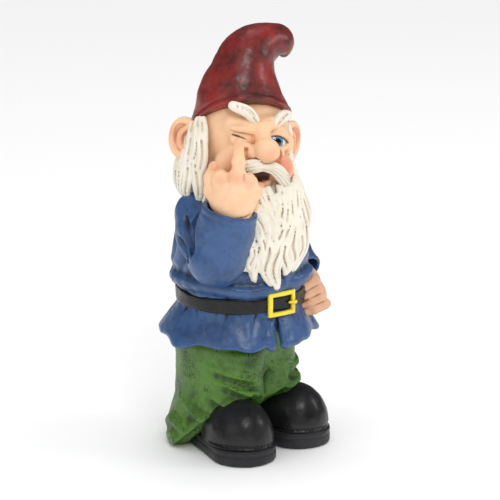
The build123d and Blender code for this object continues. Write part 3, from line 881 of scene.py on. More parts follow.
@dataclass(frozen=True)
class Paints:
    """Every finish of the gnome, mixed anew at each call."""

    shades: Shades

    def boots(self) -> bpy.types.Material:
        """Black gloss paint on the uppers.

        Returns:
            The paint.
        """
        return Paint(
            "boot_black_gloss", (0.006, 0.006, 0.007), (0.013, 0.013, 0.015), (0.002, 0.002, 0.002),
            roughness=0.38, patchiness=0.2, texture=0.8, coat=0.2, coat_roughness=0.22, specular=0.35,
        ).mix(self.shades)

    def soles(self) -> bpy.types.Material:
        """Duller black on the soles.

        Returns:
            The paint.
        """
        return Paint(
            "sole_charcoal", (0.010, 0.010, 0.012), (0.02, 0.02, 0.023), (0.003, 0.003, 0.003),
            roughness=0.52, patchiness=0.2, texture=1.0, coat=0.1, coat_roughness=0.4, specular=0.4,
        ).mix(self.shades)

    def trousers(self) -> bpy.types.Material:
        """Mid green, stippled with near-black paint and darkened with near-black painted shade in the
        hollows.

        Returns:
            The paint.
        """
        return Paint(
            "trouser_green_stipple", (0.028, 0.080, 0.010), (0.078, 0.190, 0.022), (0.005, 0.011, 0.005),
            cover=0.46, depth=0.62, strength=0.9, speckle=0.95,
            roughness=0.46, texture=0.9, coat=0.15, coat_roughness=0.35, specular=0.4,
        ).mix(self.shades)

    def jacket(self) -> bpy.types.Material:
        """Medium blue with navy painted shade in the hollows and a satin varnish.

        Returns:
            The paint.
        """
        return Paint(
            "jacket_blue_satin", (0.016, 0.052, 0.15), (0.03, 0.088, 0.235), (0.003, 0.006, 0.016),
            cover=0.45, depth=0.45, strength=0.9, speckle=0.35,
            roughness=0.42, patchiness=0.16, texture=0.8, coat=0.3, coat_roughness=0.25,
        ).mix(self.shades)

    def belt(self) -> bpy.types.Material:
        """Glossy black.

        Returns:
            The paint.
        """
        return Paint(
            "belt_black_gloss", (0.003, 0.003, 0.004), (0.008, 0.008, 0.009), (0.001, 0.001, 0.001),
            roughness=0.34, patchiness=0.2, texture=0.9, coat=0.2, coat_roughness=0.22, specular=0.3,
        ).mix(self.shades)

    def buckle(self) -> bpy.types.Material:
        """Bright yellow with brown painted shade in its corners.

        Returns:
            The paint.
        """
        return Paint(
            "buckle_yellow_gloss", (0.68, 0.50, 0.015), (0.86, 0.68, 0.02), (0.10, 0.05, 0.005),
            cover=0.4, depth=0.9, strength=0.75, roughness=0.3, texture=0.5, coat=0.5, coat_roughness=0.15,
        ).mix(self.shades)

    def skin(self) -> bpy.types.Material:
        """Peach flesh with brown painted shade in its creases and a pink blush.

        Returns:
            The paint.
        """
        return Paint(
            "skin_peach", (0.80, 0.48, 0.27), (0.88, 0.57, 0.355), (0.36, 0.15, 0.07),
            blush=(0.74, 0.24, 0.15), stain=(0.10, 0.030, 0.015),
            cover=0.45, spread=0.2, depth=0.55, strength=0.8,
            roughness=0.46, texture=0.35, coat=0.12, coat_roughness=0.35, flesh=0.08,
        ).mix(self.shades)

    def hand(self) -> bpy.types.Material:
        """The same flesh painted darker for the hand at the hip, as painted shade, with deeper painted shade
        in its hollows.

        Returns:
            The paint.
        """
        # A darker copy of the skin paint, as painted shade on the hand at the hip.
        return Paint(
            "skin_painted_shade", (0.62, 0.33, 0.19), (0.75, 0.44, 0.28), (0.13, 0.045, 0.02),
            blush=(0.72, 0.26, 0.18), stain=(0.10, 0.03, 0.015),
            cover=0.5, spread=0.2, depth=0.35, strength=0.95,
            roughness=0.46, texture=0.35, coat=0.15, coat_roughness=0.35, flesh=0.05,
        ).mix(self.shades)

    def hair(self) -> bpy.types.Material:
        """Ivory with ochre painted shade in the grooves.

        Returns:
            The paint.
        """
        return Paint(
            "hair_ivory_painted_shade", (0.74, 0.67, 0.54), (0.84, 0.79, 0.69), (0.40, 0.26, 0.12),
            cover=0.45, spread=0.2, depth=0.55, strength=0.85,
            roughness=0.5, texture=0.5, coat=0.1, coat_roughness=0.4,
        ).mix(self.shades)

    def hat(self) -> bpy.types.Material:
        """Deep red over near-black maroon, glossy.

        Returns:
            The paint.
        """
        return Paint(
            "hat_red_mottle", (0.050, 0.006, 0.007), (0.26, 0.012, 0.009), (0.014, 0.004, 0.005),
            cover=0.47, spread=0.17, depth=0.6, strength=0.8,
            roughness=0.40, patchiness=0.2, texture=0.9, coat=0.3, coat_roughness=0.28,
        ).mix(self.shades)

    def eye(self) -> bpy.types.Material:
        """A painted eye: white that greys away from the pupil as painted shade, with a blue iris, a dark rim
        and pupil, and a glint.

        Returns:
            The paint.
        """
        made = bpy.data.materials.new("eye_painted")
        made.use_nodes = True
        tree = made.node_tree
        shades = self.shades
        surface = tree.nodes["Principled BSDF"]
        away = shades.painted(tree, "from_pupil")
        glint = shades.painted(tree, "from_glint")
        # The white greys with distance from the pupil, towards the lids: painted shade.
        shaded_white = shades.mix(tree, shades.ramp(tree, away, 4.6, 9.5), (0.80, 0.83, 0.85), (0.55, 0.60, 0.66))
        iris = shades.mix(tree, shades.ramp(tree, away, 3.0, 4.8), (0.05, 0.14, 0.26), (0.20, 0.42, 0.62))
        eye = shades.mix(tree, shades.ramp(tree, away, 5.15, 4.85), shaded_white, iris)
        rim = shades.ramp(tree, away, 4.3, 4.95)
        rim = shades.sum(tree, "MULTIPLY", rim, shades.ramp(tree, away, 5.4, 5.0))
        eye = shades.mix(tree, rim, eye, (0.008, 0.014, 0.03))
        eye = shades.mix(tree, shades.ramp(tree, away, 3.25, 2.9), eye, (0.004, 0.004, 0.006))
        eye = shades.mix(tree, shades.ramp(tree, glint, 0.95, 0.75), eye, (0.9, 0.93, 0.95))
        tree.links.new(eye, surface.inputs["Base Color"])
        surface.inputs["Roughness"].default_value = 0.14
        surface.inputs["Coat Weight"].default_value = 0.6
        surface.inputs["Coat Roughness"].default_value = 0.06
        return made


# ---------------------------------------------------------------- the figure
HEAD = Place.of((0.0, 0.0, 246.0), spin("Y", 7.0) @ spin("Z", -20.0))
FRONT_TURN = -8.0
STEP_SCALE = 1.0


def ring_point(rings: np.ndarray, height: float, degrees: float, out: float = 0.0) -> np.ndarray:
    """A point on a tower's side.

    Args:
        rings: the tower's rings, from the bottom up.
        height: how high the point is.
        degrees: its bearing from the front, towards the gnome's left.
        out: how far it stands out from the side.

    Returns:
        The point.
    """
    middle_x, middle_y, width, depth = (np.interp(height, rings[:, 0], rings[:, i]) for i in range(1, 5))
    angle = math.radians(degrees)
    return np.array(
        [
            middle_x + (width + out) * math.sin(angle),
            middle_y - (depth + out) * math.cos(angle),
            height,
        ]
    )


@dataclass
class Boots:
    """Two round-toed boots on thick soles."""

    sole_height: float = 13.0
    toe: tuple[float, float] = (31.5, -33.5)
    heel: tuple[float, float] = (18.0, 22.0)
    toe_radius: float = 24.5
    heel_radius: float = 15.5
    welt: float = 1.6

    def sole(self, side: Side) -> Clay:
        """Models one sole, with a rounded welt and a groove under it.

        Args:
            side: which one.

        Returns:
            The clay.
        """
        toe = np.array([side.value * self.toe[0], self.toe[1]])
        heel = np.array([side.value * self.heel[0], self.heel[1]])
        low = np.minimum(toe, heel) - 32
        high = np.maximum(toe, heel) + 32
        clay = Clay((*low, -3), (*high, self.sole_height + 4), 0.9 * STEP_SCALE)
        at = clay.everywhere()
        along = heel - toe
        t = np.clip(((at[..., :2] - toe) @ along) / (along @ along), 0, 1)
        away = np.linalg.norm(at[..., :2] - toe - t[..., None] * along, axis=-1)
        radius = self.toe_radius + self.welt + t * (self.heel_radius - self.toe_radius)
        height = at[..., 2]
        waist = 0.7 * np.exp(-(((height - self.sole_height * 0.62) / 1.0) ** 2))
        flat = np.abs(height - self.sole_height / 2) - self.sole_height / 2
        clay.value = -soft_min(-(away - radius + waist), -flat, 2.4)
        return clay

    def upper(self, side: Side) -> Clay:
        """Models one boot's upper: toe cap, instep and ankle, with a seam above the welt.

        Args:
            side: which one.

        Returns:
            The clay.
        """
        toe = np.array([side.value * self.toe[0], self.toe[1], 0])
        heel = np.array([side.value * self.heel[0], self.heel[1], 0])
        low = np.minimum(toe, heel) - (30, 30, 0)
        high = np.maximum(toe, heel) + (30, 30, 66)
        clay = Clay(low + (0, 0, 9), high, 0.9 * STEP_SCALE)
        top = self.sole_height
        clay.egg(toe + (0, 1, top + 3), (24.6, 26, 31.5), soft=3)
        clay.egg(toe + (0, 14, top + 3), (21, 26, 27), soft=10)
        clay.strand([toe + (0, 4, top + 6), heel + (0, -2, top + 8)], (18, 14.5), soft=6)
        clay.strand([heel + (0, -2, top + 4), heel + (0, -2, top + 40)], (14, 12), soft=6)
        bead = [
            toe + (24.2 * math.cos(a), 24.8 * math.sin(a), top + 2.4) for a in np.linspace(-math.pi, 0.0, 19)
        ]
        inner, outer = (toe + (x, 16, top + 2.4) for x in (-23.5, 23.5))
        seam = [inner, *bead, outer]
        clay.strand(seam, [0.9] * len(seam), soft=1.0, carve=True)
        clay.cut((0, 0, top - 0.4), (0, 0, -1), 0.6)
        return clay

    def build(self, studio: Studio, paints: Paints) -> None:
        """Builds and paints both boots.

        Args:
            studio: where its pieces are built.
            paints: the finishes.
        """
        black, charcoal = paints.boots(), paints.soles()
        for side, name in ((Side.RIGHT, "right"), (Side.LEFT, "left")):
            studio.piece(
                f"{name}_sole_cast", self.sole(side), f"{name}_sole", charcoal,
                lumps=((14, 0.3), (3.5, 0.12)),
            )
            studio.piece(
                f"{name}_boot_cast", self.upper(side), f"{name}_boot", black,
                lumps=((16, 0.45), (5, 0.15), (2.4, 0.06)),
            )


@dataclass
class Trousers:
    """Wide trousers that break over the boots and trail to the floor behind."""

    leg: tuple[tuple[float, ...], ...] = (
        (0.5, 24.0, 8.0, 32.5, 42.0),
        (10.0, 24.0, 7.5, 33.5, 44.0),
        (24.0, 22.5, 6.0, 31.5, 44.0),
        (40.0, 20.5, 5.0, 27.5, 43.0),
        (60.0, 19.0, 6.0, 26.5, 42.0),
        (84.0, 18.0, 7.5, 27.0, 42.5),
    )
    hips: tuple[tuple[float, ...], ...] = (
        (66.0, 0.0, 8.0, 39.0, 38.0),
        (80.0, 0.0, 8.0, 44.5, 43.0),
        (95.0, 0.0, 5.5, 44.5, 43.5),
        (108.0, 0.0, 3.0, 44.0, 43.0),
    )

    def clay(self) -> Clay:
        """Models the legs, the hips, the slanting hems and the folds.

        Returns:
            The clay.
        """
        clay = Clay((-62, -46, -2), (62, 58, 112), 1.1 * STEP_SCALE)
        for side in (-1, 1):
            legs = [(z, side * x, y, w, d) for z, x, y, w, d in self.leg]
            clay.tower(legs, soft=3.0, edge=3.0)
        clay.tower(self.hips, soft=7.0, edge=2.0)
        self._folds(clay)
        at = clay.everywhere()
        hem_wave = 1.6 * np.sin(at[..., 0] * 0.21) + 1.1 * np.sin(at[..., 0] * 0.5 + 1)
        hem_line = 48.0 - (at[..., 1] + 37.0) * 48.0 / 63.0 + hem_wave
        under = (hem_line - at[..., 2]) * 0.8
        clay.value = -soft_min(-clay.value, -under, 1.6)
        return clay

    def _folds(self, clay: Clay) -> None:
        """Presses creases into the cloth and raises the rolls between them.

        Args:
            clay: the clay to work on.
        """
        for side in (-1, 1):
            legs = smooth_path([(z, side * x, y, w, d) for z, x, y, w, d in self.leg], 8)
            rolls = (
                ((62, -60), (52, -20), (46, 20), 3.4),
                ((50, -75), (40, -38), (36, -5), 3.8),
                ((72, -70), (66, -35), (62, -5), 2.6),
                ((36, -100), (28, -70), (26, -45), 3.6),
                ((30, 30), (40, 60), (44, 100), 3.4),
                ((20, 100), (26, 130), (22, 160), 3.6),
                ((46, 120), (50, 150), (44, 185), 3.0),
                ((14, -150), (22, -120), (16, -95), 3.6),
                ((70, 120), (64, 150), (68, 180), 2.6),
            )
            for *line, radius in rolls:
                path = smooth_path([ring_point(legs, z, -side * a, -1.2) for z, a in line], 4)
                swell = radius * np.sin(np.linspace(0.25, math.pi - 0.25, len(path)))
                clay.strand(path, swell, soft=4.5)
                below = [ring_point(legs, z - 5.5, -side * a, 1.4) for z, a in line]
                below = smooth_path(below, 4)
                groove = 0.4 * swell[: len(below)]
                clay.strand(below, groove, soft=5.0, carve=True)
        crotch = smooth_path([(0, -38, 92), (0.5, -41, 78), (1.5, -36, 58), (1.5, -30, 34)], 5)
        clay.strand(crotch, np.linspace(1.2, 3.2, len(crotch)), soft=4, carve=True)
        for side in (-1, 1):
            pull = smooth_path([(side * 3, -42, 80), (side * 14, -41, 73), (side * 27, -36, 70)], 5)
            clay.strand(pull, np.linspace(2.0, 0.8, len(pull)), soft=3, carve=True)
            pull = smooth_path([(side * 3, -41, 70), (side * 13, -40, 60), (side * 24, -35, 55)], 5)
            clay.strand(pull, np.linspace(2.0, 0.8, len(pull)), soft=3, carve=True)

    def build(self, studio: Studio, paints: Paints) -> None:
        """Builds and paints the trousers.

        Args:
            studio: where its pieces are built.
            paints: the finishes.
        """
        studio.piece(
            "trousers_cast", self.clay(), "trousers", paints.trousers(),
            lumps=((13, 0.55), (5, 0.22), (2.2, 0.1)), reach=2.2,
        )


@dataclass
class Jacket:
    """A belted jacket with a flared skirt, gathered at the waist."""

    rings: tuple[tuple[float, ...], ...] = (
        (92.0, 0.0, 4.0, 65.5, 62.5),
        (97.0, 0.0, 3.8, 63.5, 61.0),
        (106.0, 0.0, 2.4, 57.5, 56.5),
        (116.0, 0.0, 1.0, 52.0, 51.5),
        (126.0, 0.0, 0.0, 49.8, 49.8),
        (136.0, 0.0, 0.0, 54.0, 52.5),
        (143.0, 0.0, 0.2, 56.5, 54.5),
        (152.0, 0.0, 0.5, 56.5, 54.5),
        (172.0, 0.0, 1.0, 54.0, 51.0),
        (194.0, 0.0, 2.0, 49.0, 44.0),
        (212.0, 0.0, 2.0, 40.0, 36.0),
        (224.0, 0.0, 1.0, 30.0, 29.0),
    )

    def clay(self) -> Clay:
        """Models the body of the jacket with its hem, slit, seam and folds.

        Returns:
            The clay.
        """
        clay = Clay((-72, -66, 87), (72, 72, 228), 1.15 * STEP_SCALE)
        at = clay.everywhere()
        bearing = np.degrees(np.arctan2(at[..., 0], -at[..., 1]))
        curve = smooth_path(self.rings, 6)
        clay.tower(self.rings, edge=3.0)
        drop = np.clip((118 - at[..., 2]) / 26, 0, 1)
        flare = 1.7 * np.sin(np.radians(bearing * 7 + 30)) + 1.0 * np.sin(np.radians(bearing * 12 + 140))
        clay.value += (drop * drop * flare).astype(np.float32) * -1
        gather = np.zeros(at.shape[:3])
        pleats = np.random.default_rng(11)
        spots = np.arange(-180, 180, 13.5) + pleats.uniform(-4.5, 4.5, 27)
        for spot, deep, lean in zip(spots, pleats.uniform(0.5, 1.9, 27), pleats.uniform(-0.5, 0.5, 27)):
            for sign, start, reach in ((-1, 119.5, 17), (1, 132.5, 11)):
                run = sign * (at[..., 2] - start)
                turn = (bearing - spot - lean * run + 180) % 360 - 180
                fade = np.clip(run + 2, 0, 3) / 3 * np.exp(-np.clip(run, 0, None) / reach * 1.6)
                gather += deep * fade * np.exp(-((turn / 2.3) ** 2))
        clay.value += gather.astype(np.float32)
        under = smooth_path([(86, 0, 4, 59.5, 57), (98, 0, 4, 55, 53.5), (107, 0, 3, 45, 44)], 4)
        clay.tower(under, soft=2.0, carve=True, edge=1.0)
        self._front(clay, curve)
        self._folds(clay, curve)
        return clay

    @staticmethod
    def _front(clay: Clay, curve: np.ndarray) -> None:
        """Cuts the slit in the skirt and the seam above the belt.

        Args:
            clay: the clay to work on.
            curve: the rings of the jacket's body, in fine steps.
        """
        bearing = FRONT_TURN - 3.0
        edge = [ring_point(curve, z, bearing, 1.0) for z in (92, 100, 108, 117)]
        clay.strand(edge, (4.2, 3.4, 2.4, 1.0), soft=1.6, carve=True)
        clay.strand([p * (0.93, 0.93, 1) for p in edge], (4.2, 3.2, 2.2, 0.8), soft=1.2, carve=True)
        clay.strand([p * (0.86, 0.86, 1) for p in edge[:2]], (4.0, 3.2), soft=1.2, carve=True)
        seam = [ring_point(curve, z, bearing + 4, 0.5) for z in (133, 140, 148, 156)]
        clay.strand(seam, (0.9, 1.0, 1.0, 0.9), soft=1.0, carve=True)
        lip = [ring_point(curve, z, bearing + 6.5, -1.4) for z in (134, 141, 149, 156)]
        clay.strand(lip, (2.0, 2.2, 2.2, 2.0), soft=1.5)
        for turn in (-7.5, 4.5):
            lip = [ring_point(curve, z, bearing + turn, -2.4) for z in (93, 101, 109)]
            clay.strand(lip, (3.4, 3.0, 2.2), soft=2.5)

    @staticmethod
    def _folds(clay: Clay, curve: np.ndarray) -> None:
        """Raises the roll of cloth over the belt, and drags folds across the back and sides.

        Args:
            clay: the clay to work on.
            curve: the rings of the jacket's body, in fine steps.
        """
        for start, end, height, rise, radius in (
            (-150, -60, 139, 2, 3.6),
            (-66, -8, 140, -3, 3.8),
            (2, 60, 139, 4, 3.8),
            (70, 150, 141, -3, 5.0),
            (150, 212, 140, 3, 4.6),
        ):
            turns = np.linspace(start, end, 9)
            wave = rise * np.sin(np.linspace(0, math.pi, 9))
            path = [ring_point(curve, height + w, a, -2.2) for a, w in zip(turns, wave)]
            clay.strand(path, radius * (0.45 + 0.55 * np.sin(np.linspace(0.2, 2.9, 9))), soft=5)
            dent = [ring_point(curve, height + w + 8, a, 1.2) for a, w in zip(turns, wave)]
            clay.strand(dent, 2.4 * np.sin(np.linspace(0.3, 2.8, 9)), soft=4, carve=True)
        for line in (
            ((196, -110), (178, -98), (160, -100), (148, -108)),
            ((188, -128), (168, -120), (152, -128)),
            ((190, 150), (172, 166), (158, 188)),
            ((194, 128), (176, 134), (158, 146)),
            ((186, 205), (168, 196), (152, 200)),
            ((184, 62), (168, 52), (154, 40)),
        ):
            path = [ring_point(curve, z, a, 1.0) for z, a in line]
            clay.fold(path, 2.6, soft=4, span=(0.3, 2.8), carve=True, steps=4)

    def build(self, studio: Studio, paints: Paints) -> None:
        """Builds and paints the jacket.

        Args:
            studio: where its pieces are built.
            paints: the finishes.
        """
        studio.piece(
            "jacket_cast", self.clay(), "jacket", paints.jacket(),
            lumps=((12, 0.6), (4.5, 0.22), (2.2, 0.1)), reach=2.2,
        )


@dataclass
class Belt:
    """A wide belt with a square buckle and a short prong."""

    bottom: float = 119.5
    width: float = 12.5
    half: tuple[float, float] = (52.2, 52.2)
    buckle: tuple[float, float] = (26.0, 19.5)
    bar: float = 3.6

    def band(self) -> Clay:
        """Models the belt as a band with soft edges that dips and swells a little.

        Returns:
            The clay.
        """
        clay = Clay((-57, -57, 114), (57, 57, 138), 0.9 * STEP_SCALE)
        at = clay.everywhere()
        bearing = np.arctan2(at[..., 0], -at[..., 1])
        middle = self.bottom + self.width / 2 + 0.7 * np.sin(2 * bearing + 0.6)
        edge = np.abs(at[..., 2] - middle) - self.width / 2 - 0.35 * np.sin(5 * bearing)
        away = np.hypot(at[..., 0] / self.half[0], at[..., 1] / self.half[1]) * self.half[0] - self.half[0]
        away = away + 0.35 * np.sin(9 * bearing + 1) * np.clip((at[..., 2] - middle) / 6, -1, 1)
        shell = np.abs(away + 1.6) - 1.9
        clay.value = -soft_min(-shell, -edge, 2.2)
        return clay

    def frame(self) -> tuple[Clay, Place]:
        """Models the buckle's frame: four bars of rounded square section, bent to the belly.

        Returns:
            The clay.
        """
        place = Place.of((0, 0, self.bottom + self.width / 2), spin("Z", FRONT_TURN))
        clay = Clay((-18, -60, -14), (18, -44, 14), 0.45 * STEP_SCALE)
        at = clay.everywhere()
        x, y, z = at[..., 0], at[..., 1], at[..., 2]
        bulge = y + self.half[1] + 1.3 - x * x / 150
        outer = np.maximum(np.abs(x) - self.buckle[0] / 2, np.abs(z) - self.buckle[1] / 2)
        inner = np.maximum(
            np.abs(x) - self.buckle[0] / 2 + self.bar, np.abs(z) - self.buckle[1] / 2 + self.bar
        )
        ring = -soft_min(-outer, inner, 0.8)
        clay.value = (-soft_min(-ring, -(np.abs(bulge) - 1.9), 1.6)).astype(np.float32)
        return clay, place

    def prong(self) -> tuple[Clay, Place]:
        """Models the prong's stub on the bar.

        Returns:
            The clay.
        """
        place = Place.of((0, 0, self.bottom + self.width / 2), spin("Z", FRONT_TURN))
        clay = Clay((2, -62, -6), (19, -46, 6), 0.4 * STEP_SCALE)
        top = -self.half[1] - 3.4
        reach = self.buckle[0] / 2
        stub = [(reach - 6.0, top + 1.6, 0), (reach - 1.6, top, 0), (reach, top + 1.4, 0)]
        clay.strand(stub, (1.1, 1.5, 1.4), soft=0.5)
        return clay, place

    def build(self, studio: Studio, paints: Paints) -> None:
        """Builds and paints the belt and its buckle.

        Args:
            studio: where its pieces are built.
            paints: the finishes.
        """
        yellow = paints.buckle()
        studio.piece("belt_cast", self.band(), "belt", paints.belt(), lumps=((9, 0.25), (3, 0.12)))
        for name, node, (clay, place) in (
            ("buckle_frame_cast", "buckle_frame", self.frame()),
            ("buckle_prong_cast", "buckle_prong", self.prong()),
        ):
            studio.piece(name, clay, node, yellow, place, lumps=((3.5, 0.15),), reach=1.2)


@dataclass
class Sleeves:
    """A raised right sleeve with a wide cuff, and a left one bent to the hip."""

    right: tuple[tuple[float, ...], ...] = (
        (-40, 7, 193), (-46, -6, 180), (-53, -26, 166), (-50, -32, 186), (-48.5, -36.5, 206),
    )
    right_radii: tuple[float, ...] = (19.0, 20.5, 21.0, 20.5, 22.0)
    left: tuple[tuple[float, ...], ...] = (
        (41, 5, 192), (50, 13, 178), (56, 19, 162), (57, 2, 150), (53, -21, 136),
    )
    left_radii: tuple[float, ...] = (17.5, 16.5, 16.0, 14.8, 14.5)

    @staticmethod
    def _cuff(clay: Clay, tip: np.ndarray, away: np.ndarray, radius: float, hole: float) -> None:
        """Opens the end of a sleeve: a square cut, a rolled rim and a dark hollow round the wrist.

        Args:
            clay: the clay to work on.
            tip: the middle of the sleeve's end.
            away: the way out of it.
            radius: the sleeve's radius.
            hole: the hollow's radius.
        """
        clay.cut(tip, away, 2.0)
        clay.strand([tip - away * 9, tip + away * 6], (hole, hole + 0.6), soft=1.6, carve=True)
        side = np.cross(away, (0.0, 0.0, 1.0) if abs(away[2]) < 0.9 else (1.0, 0.0, 0.0))
        side /= np.linalg.norm(side)
        other = np.cross(away, side)
        turns = np.linspace(0, 2 * math.pi, 25)
        groove = [
            tip - away * 5.2 + (radius + 0.9) * (math.cos(a) * side + math.sin(a) * other) for a in turns
        ]
        clay.strand(groove, [0.9] * len(turns), soft=1.4, carve=True)

    def right_clay(self) -> Clay:
        """Models the raised sleeve, creased inside the elbow.

        Returns:
            The clay.
        """
        clay = Clay((-82, -66, 138), (-14, 32, 222), 1.0 * STEP_SCALE)
        clay.strand(self.right, self.right_radii, soft=9)
        tip, before = np.array(self.right[-1], float), np.array(self.right[-2], float)
        away = (tip - before) / np.linalg.norm(tip - before)
        for line, radius in (
            (((-60, 0, 196), (-67, -8, 186), (-69, -16, 176)), 1.8),
            (((-54, -12, 205), (-62, -14, 192), (-69, -18, 180), (-71, -22, 168)), 3.0),
            (((-66, 2, 180), (-70, -8, 172), (-70, -18, 164)), 2.2),
            (((-62, 8, 172), (-66, -4, 164), (-66, -16, 156)), 2.0),
        ):
            clay.fold(line, radius, soft=4, span=(0.25, 2.8), carve=True)
        self._cuff(clay, tip, away, 22.0, 17.5)
        return clay

    def left_clay(self) -> Clay:
        """Models the lowered sleeve, with folds behind the elbow.

        Returns:
            The clay.
        """
        clay = Clay((16, -44, 116), (82, 44, 218), 1.0 * STEP_SCALE)
        clay.strand(self.left, self.left_radii, soft=8)
        tip, before = np.array(self.left[-1], float), np.array(self.left[-2], float)
        away = (tip - before) / np.linalg.norm(tip - before)
        for line, radius in (
            (((70, 8, 176), (68, 0, 166), (60, -8, 160)), 2.6),
            (((74, 14, 168), (73, 4, 158), (66, -6, 152)), 2.2),
            (((74, 24, 158), (74, 12, 148), (68, 0, 142)), 1.8),
            (((58, 30, 182), (68, 20, 180), (72, 8, 182)), 1.8),
        ):
            clay.fold(line, radius, soft=4, span=(0.25, 2.8), carve=True)
        self._cuff(clay, tip, away, 14.6, 11.2)
        return clay

    def build(self, studio: Studio, paints: Paints) -> None:
        """Builds and paints both sleeves.

        Args:
            studio: where its pieces are built.
            paints: the finishes.
        """
        blue = paints.jacket()
        for name, clay in (("right_sleeve", self.right_clay()), ("left_sleeve", self.left_clay())):
            studio.piece(
                f"{name}_cast", clay, name, blue,
                lumps=((11, 0.5), (4.5, 0.2), (2.2, 0.1)), reach=2.2,
            )


@dataclass
class Hands:
    """The raised right hand and the left fist at the hip."""

    right_place: Place = Place.facing((-49.0, -40.0, 221.0), (0.707, -0.707, 0.0), (-0.707, -0.707, 0.0))
    left_place: Place = Place.facing((37.6, -40.6, 121.0), (0.20, -0.30, -0.92), (0.47, 0.79, -0.18))

    @staticmethod
    def _nail(clay: Clay, centre: Point, half: Point, turn: np.ndarray | None = None) -> None:
        """Sets a nail into a fingertip, with a line round it.

        Args:
            clay: the clay to work on.
            centre: its middle.
            half: its half sizes.
            turn: the matrix that turns it.
        """
        rim = [h + 0.45 for h in half]
        clay.egg(centre, rim, turn, soft=0.4, carve=True)
        clay.egg(centre, half, turn, soft=0.3)

    def right(self) -> Clay:
        """Models a fist seen from its back, with the middle finger up and the thumb beside it.

        Returns:
            The clay.
        """
        clay = Clay((-30, -26, -26), (32, 48, 22), 0.7 * STEP_SCALE)
        clay.egg((0, -6, 0), (17.5, 17, 12.5), soft=4)
        clay.strand([(0, -26, -1), (0, -12, -0.5)], (13.5, 14.5), soft=5)
        knuckles = ((-9.5, 9, 1.0, 7.2), (3.5, 10.5, 1.6, 7.0), (12.5, 6, 1.0, 6.6), (17, -1, -1, 5.8))
        for x, y, z, radius in knuckles:
            clay.strand([(x * 0.55, -8, 0.5), (x, y, z)], (8.5, radius), soft=3)
        clay.strand([(3.5, 8, 0.4), (4.3, 22, 0.2), (4.6, 37, -1.6)], (5.6, 4.5, 3.9), soft=3)
        clay.egg((4.3, 22.5, 0.2), (4.9, 3.4, 4.8), soft=2.5)
        for x, y, radius in ((-9.5, 8, 5.6), (12.5, 5, 5.4), (17, -2, 4.8)):
            clay.strand(
                [(x, y, -1), (x - 0.6, y + 1.5, -8), (x - 1, y - 5, -13), (x - 1.4, y - 14, -11.5)],
                (radius + 0.8, radius, radius - 0.6, radius - 0.8), soft=1.2,
            )
        thumb = [(-9, -10, -1), (-16, -1, -4), (-17, 9, -6), (-14.5, 17, -8)]
        clay.strand(thumb, (8, 6.2, 5.2, 4.2), soft=2.5)
        for start, end in (
            ((-3.2, 15, 4.5), (-3.0, 9, 7.5)),
            ((9.0, 13, 4.5), (8.4, 8, 8.0)),
        ):
            clay.strand([start, end], (1.0, 0.2), soft=2.6, carve=True)
        for height, deep in ((22.0, 0.5), (24.6, 0.45), (35.0, 0.3)):
            wrinkle = [(-1.6, height, 3.5), (4.3, height + 0.6, 6.3), (10.2, height, 3.5)]
            clay.strand(smooth_path(wrinkle, 4), [deep] * 9, soft=0.8, carve=True)
        wrist = smooth_path([(-13, -19, 6), (0, -20.5, 13.5), (13, -18, 6)], 4)
        clay.strand(wrist, [0.8] * len(wrist), soft=1.6, carve=True)
        self._nail(clay, (-14.4, 17.5, -4.4), (2.4, 3.2, 0.9))
        return clay

    def left(self) -> Clay:
        """Models the fist that rests on the belly, with its fingers curled under one another.

        Returns:
            The clay.
        """
        clay = Clay((-28, -26, -18), (24, 24, 22), 0.6 * STEP_SCALE)
        clay.egg((0, -3, 2.5), (13, 11.5, 9.0), soft=3)
        for x, y, radius in ((-10.2, 0.5, 5.0), (-3.2, 1.6, 5.3), (4.0, 1.2, 5.1), (10.4, -0.8, 4.5)):
            line = ((1.0, -8, -2.2), (0.95, 3, -5.0), (0.9, 10, -3.2), (0.86, 11.5, 3.5))
            finger = [(x * share, y + along, z) for share, along, z in line]
            clay.strand(finger, (radius, radius, radius - 0.6, radius - 1.0), soft=0.9)
        clay.strand([(-11, -8, 3), (-13, -1, -1), (-11, 6, -6), (-7, 10, -8)], (5.4, 5.0, 4.6, 4.0), soft=1.2)
        clay.strand([(-15, -6, 7), (-8, -4, 4)], (7.4, 8.2), soft=4)
        for x in (-6.7, 0.5, 7.3):
            gap = smooth_path([(x, -6, -8.4), (x * 0.93, 3, -10.6), (x * 0.9, 12, -7.6)], 4)
            clay.strand(gap, np.linspace(0.5, 1.2, len(gap)), soft=1.2, carve=True)
        self._nail(clay, (-8.4, 13.2, -10.2), (2.6, 2.9, 1.1))
        for x, y in ((-3.0, 13.6), (3.6, 13.2), (9.0, 10.8)):
            self._nail(clay, (x, y + 1.9, -0.6), (2.3, 1.1, 2.8))
        return clay

    def build(self, studio: Studio, paints: Paints) -> None:
        """Builds and paints both hands.

        Args:
            studio: where its pieces are built.
            paints: the finishes.
        """
        studio.piece(
            "right_hand_cast", self.right(), "right_hand", paints.skin(), self.right_place,
            lumps=((5, 0.14), (2, 0.05)), reach=1.4,
            dabs=[
                Dab((3.5, 11, 8), 7, 0.35), Dab((12.5, 7, 7), 6, 0.35), Dab((-9.5, 10, 7), 6, 0.3),
                Dab((4.6, 38, 0), 8, 0.3), Dab((-14.5, 17, -6), 8, 0.35),
            ],
        )
        studio.piece(
            "left_hand_cast", self.left(), "left_hand", paints.hand(), self.left_place,
            lumps=((4, 0.12), (2, 0.05)), reach=1.6,
        )


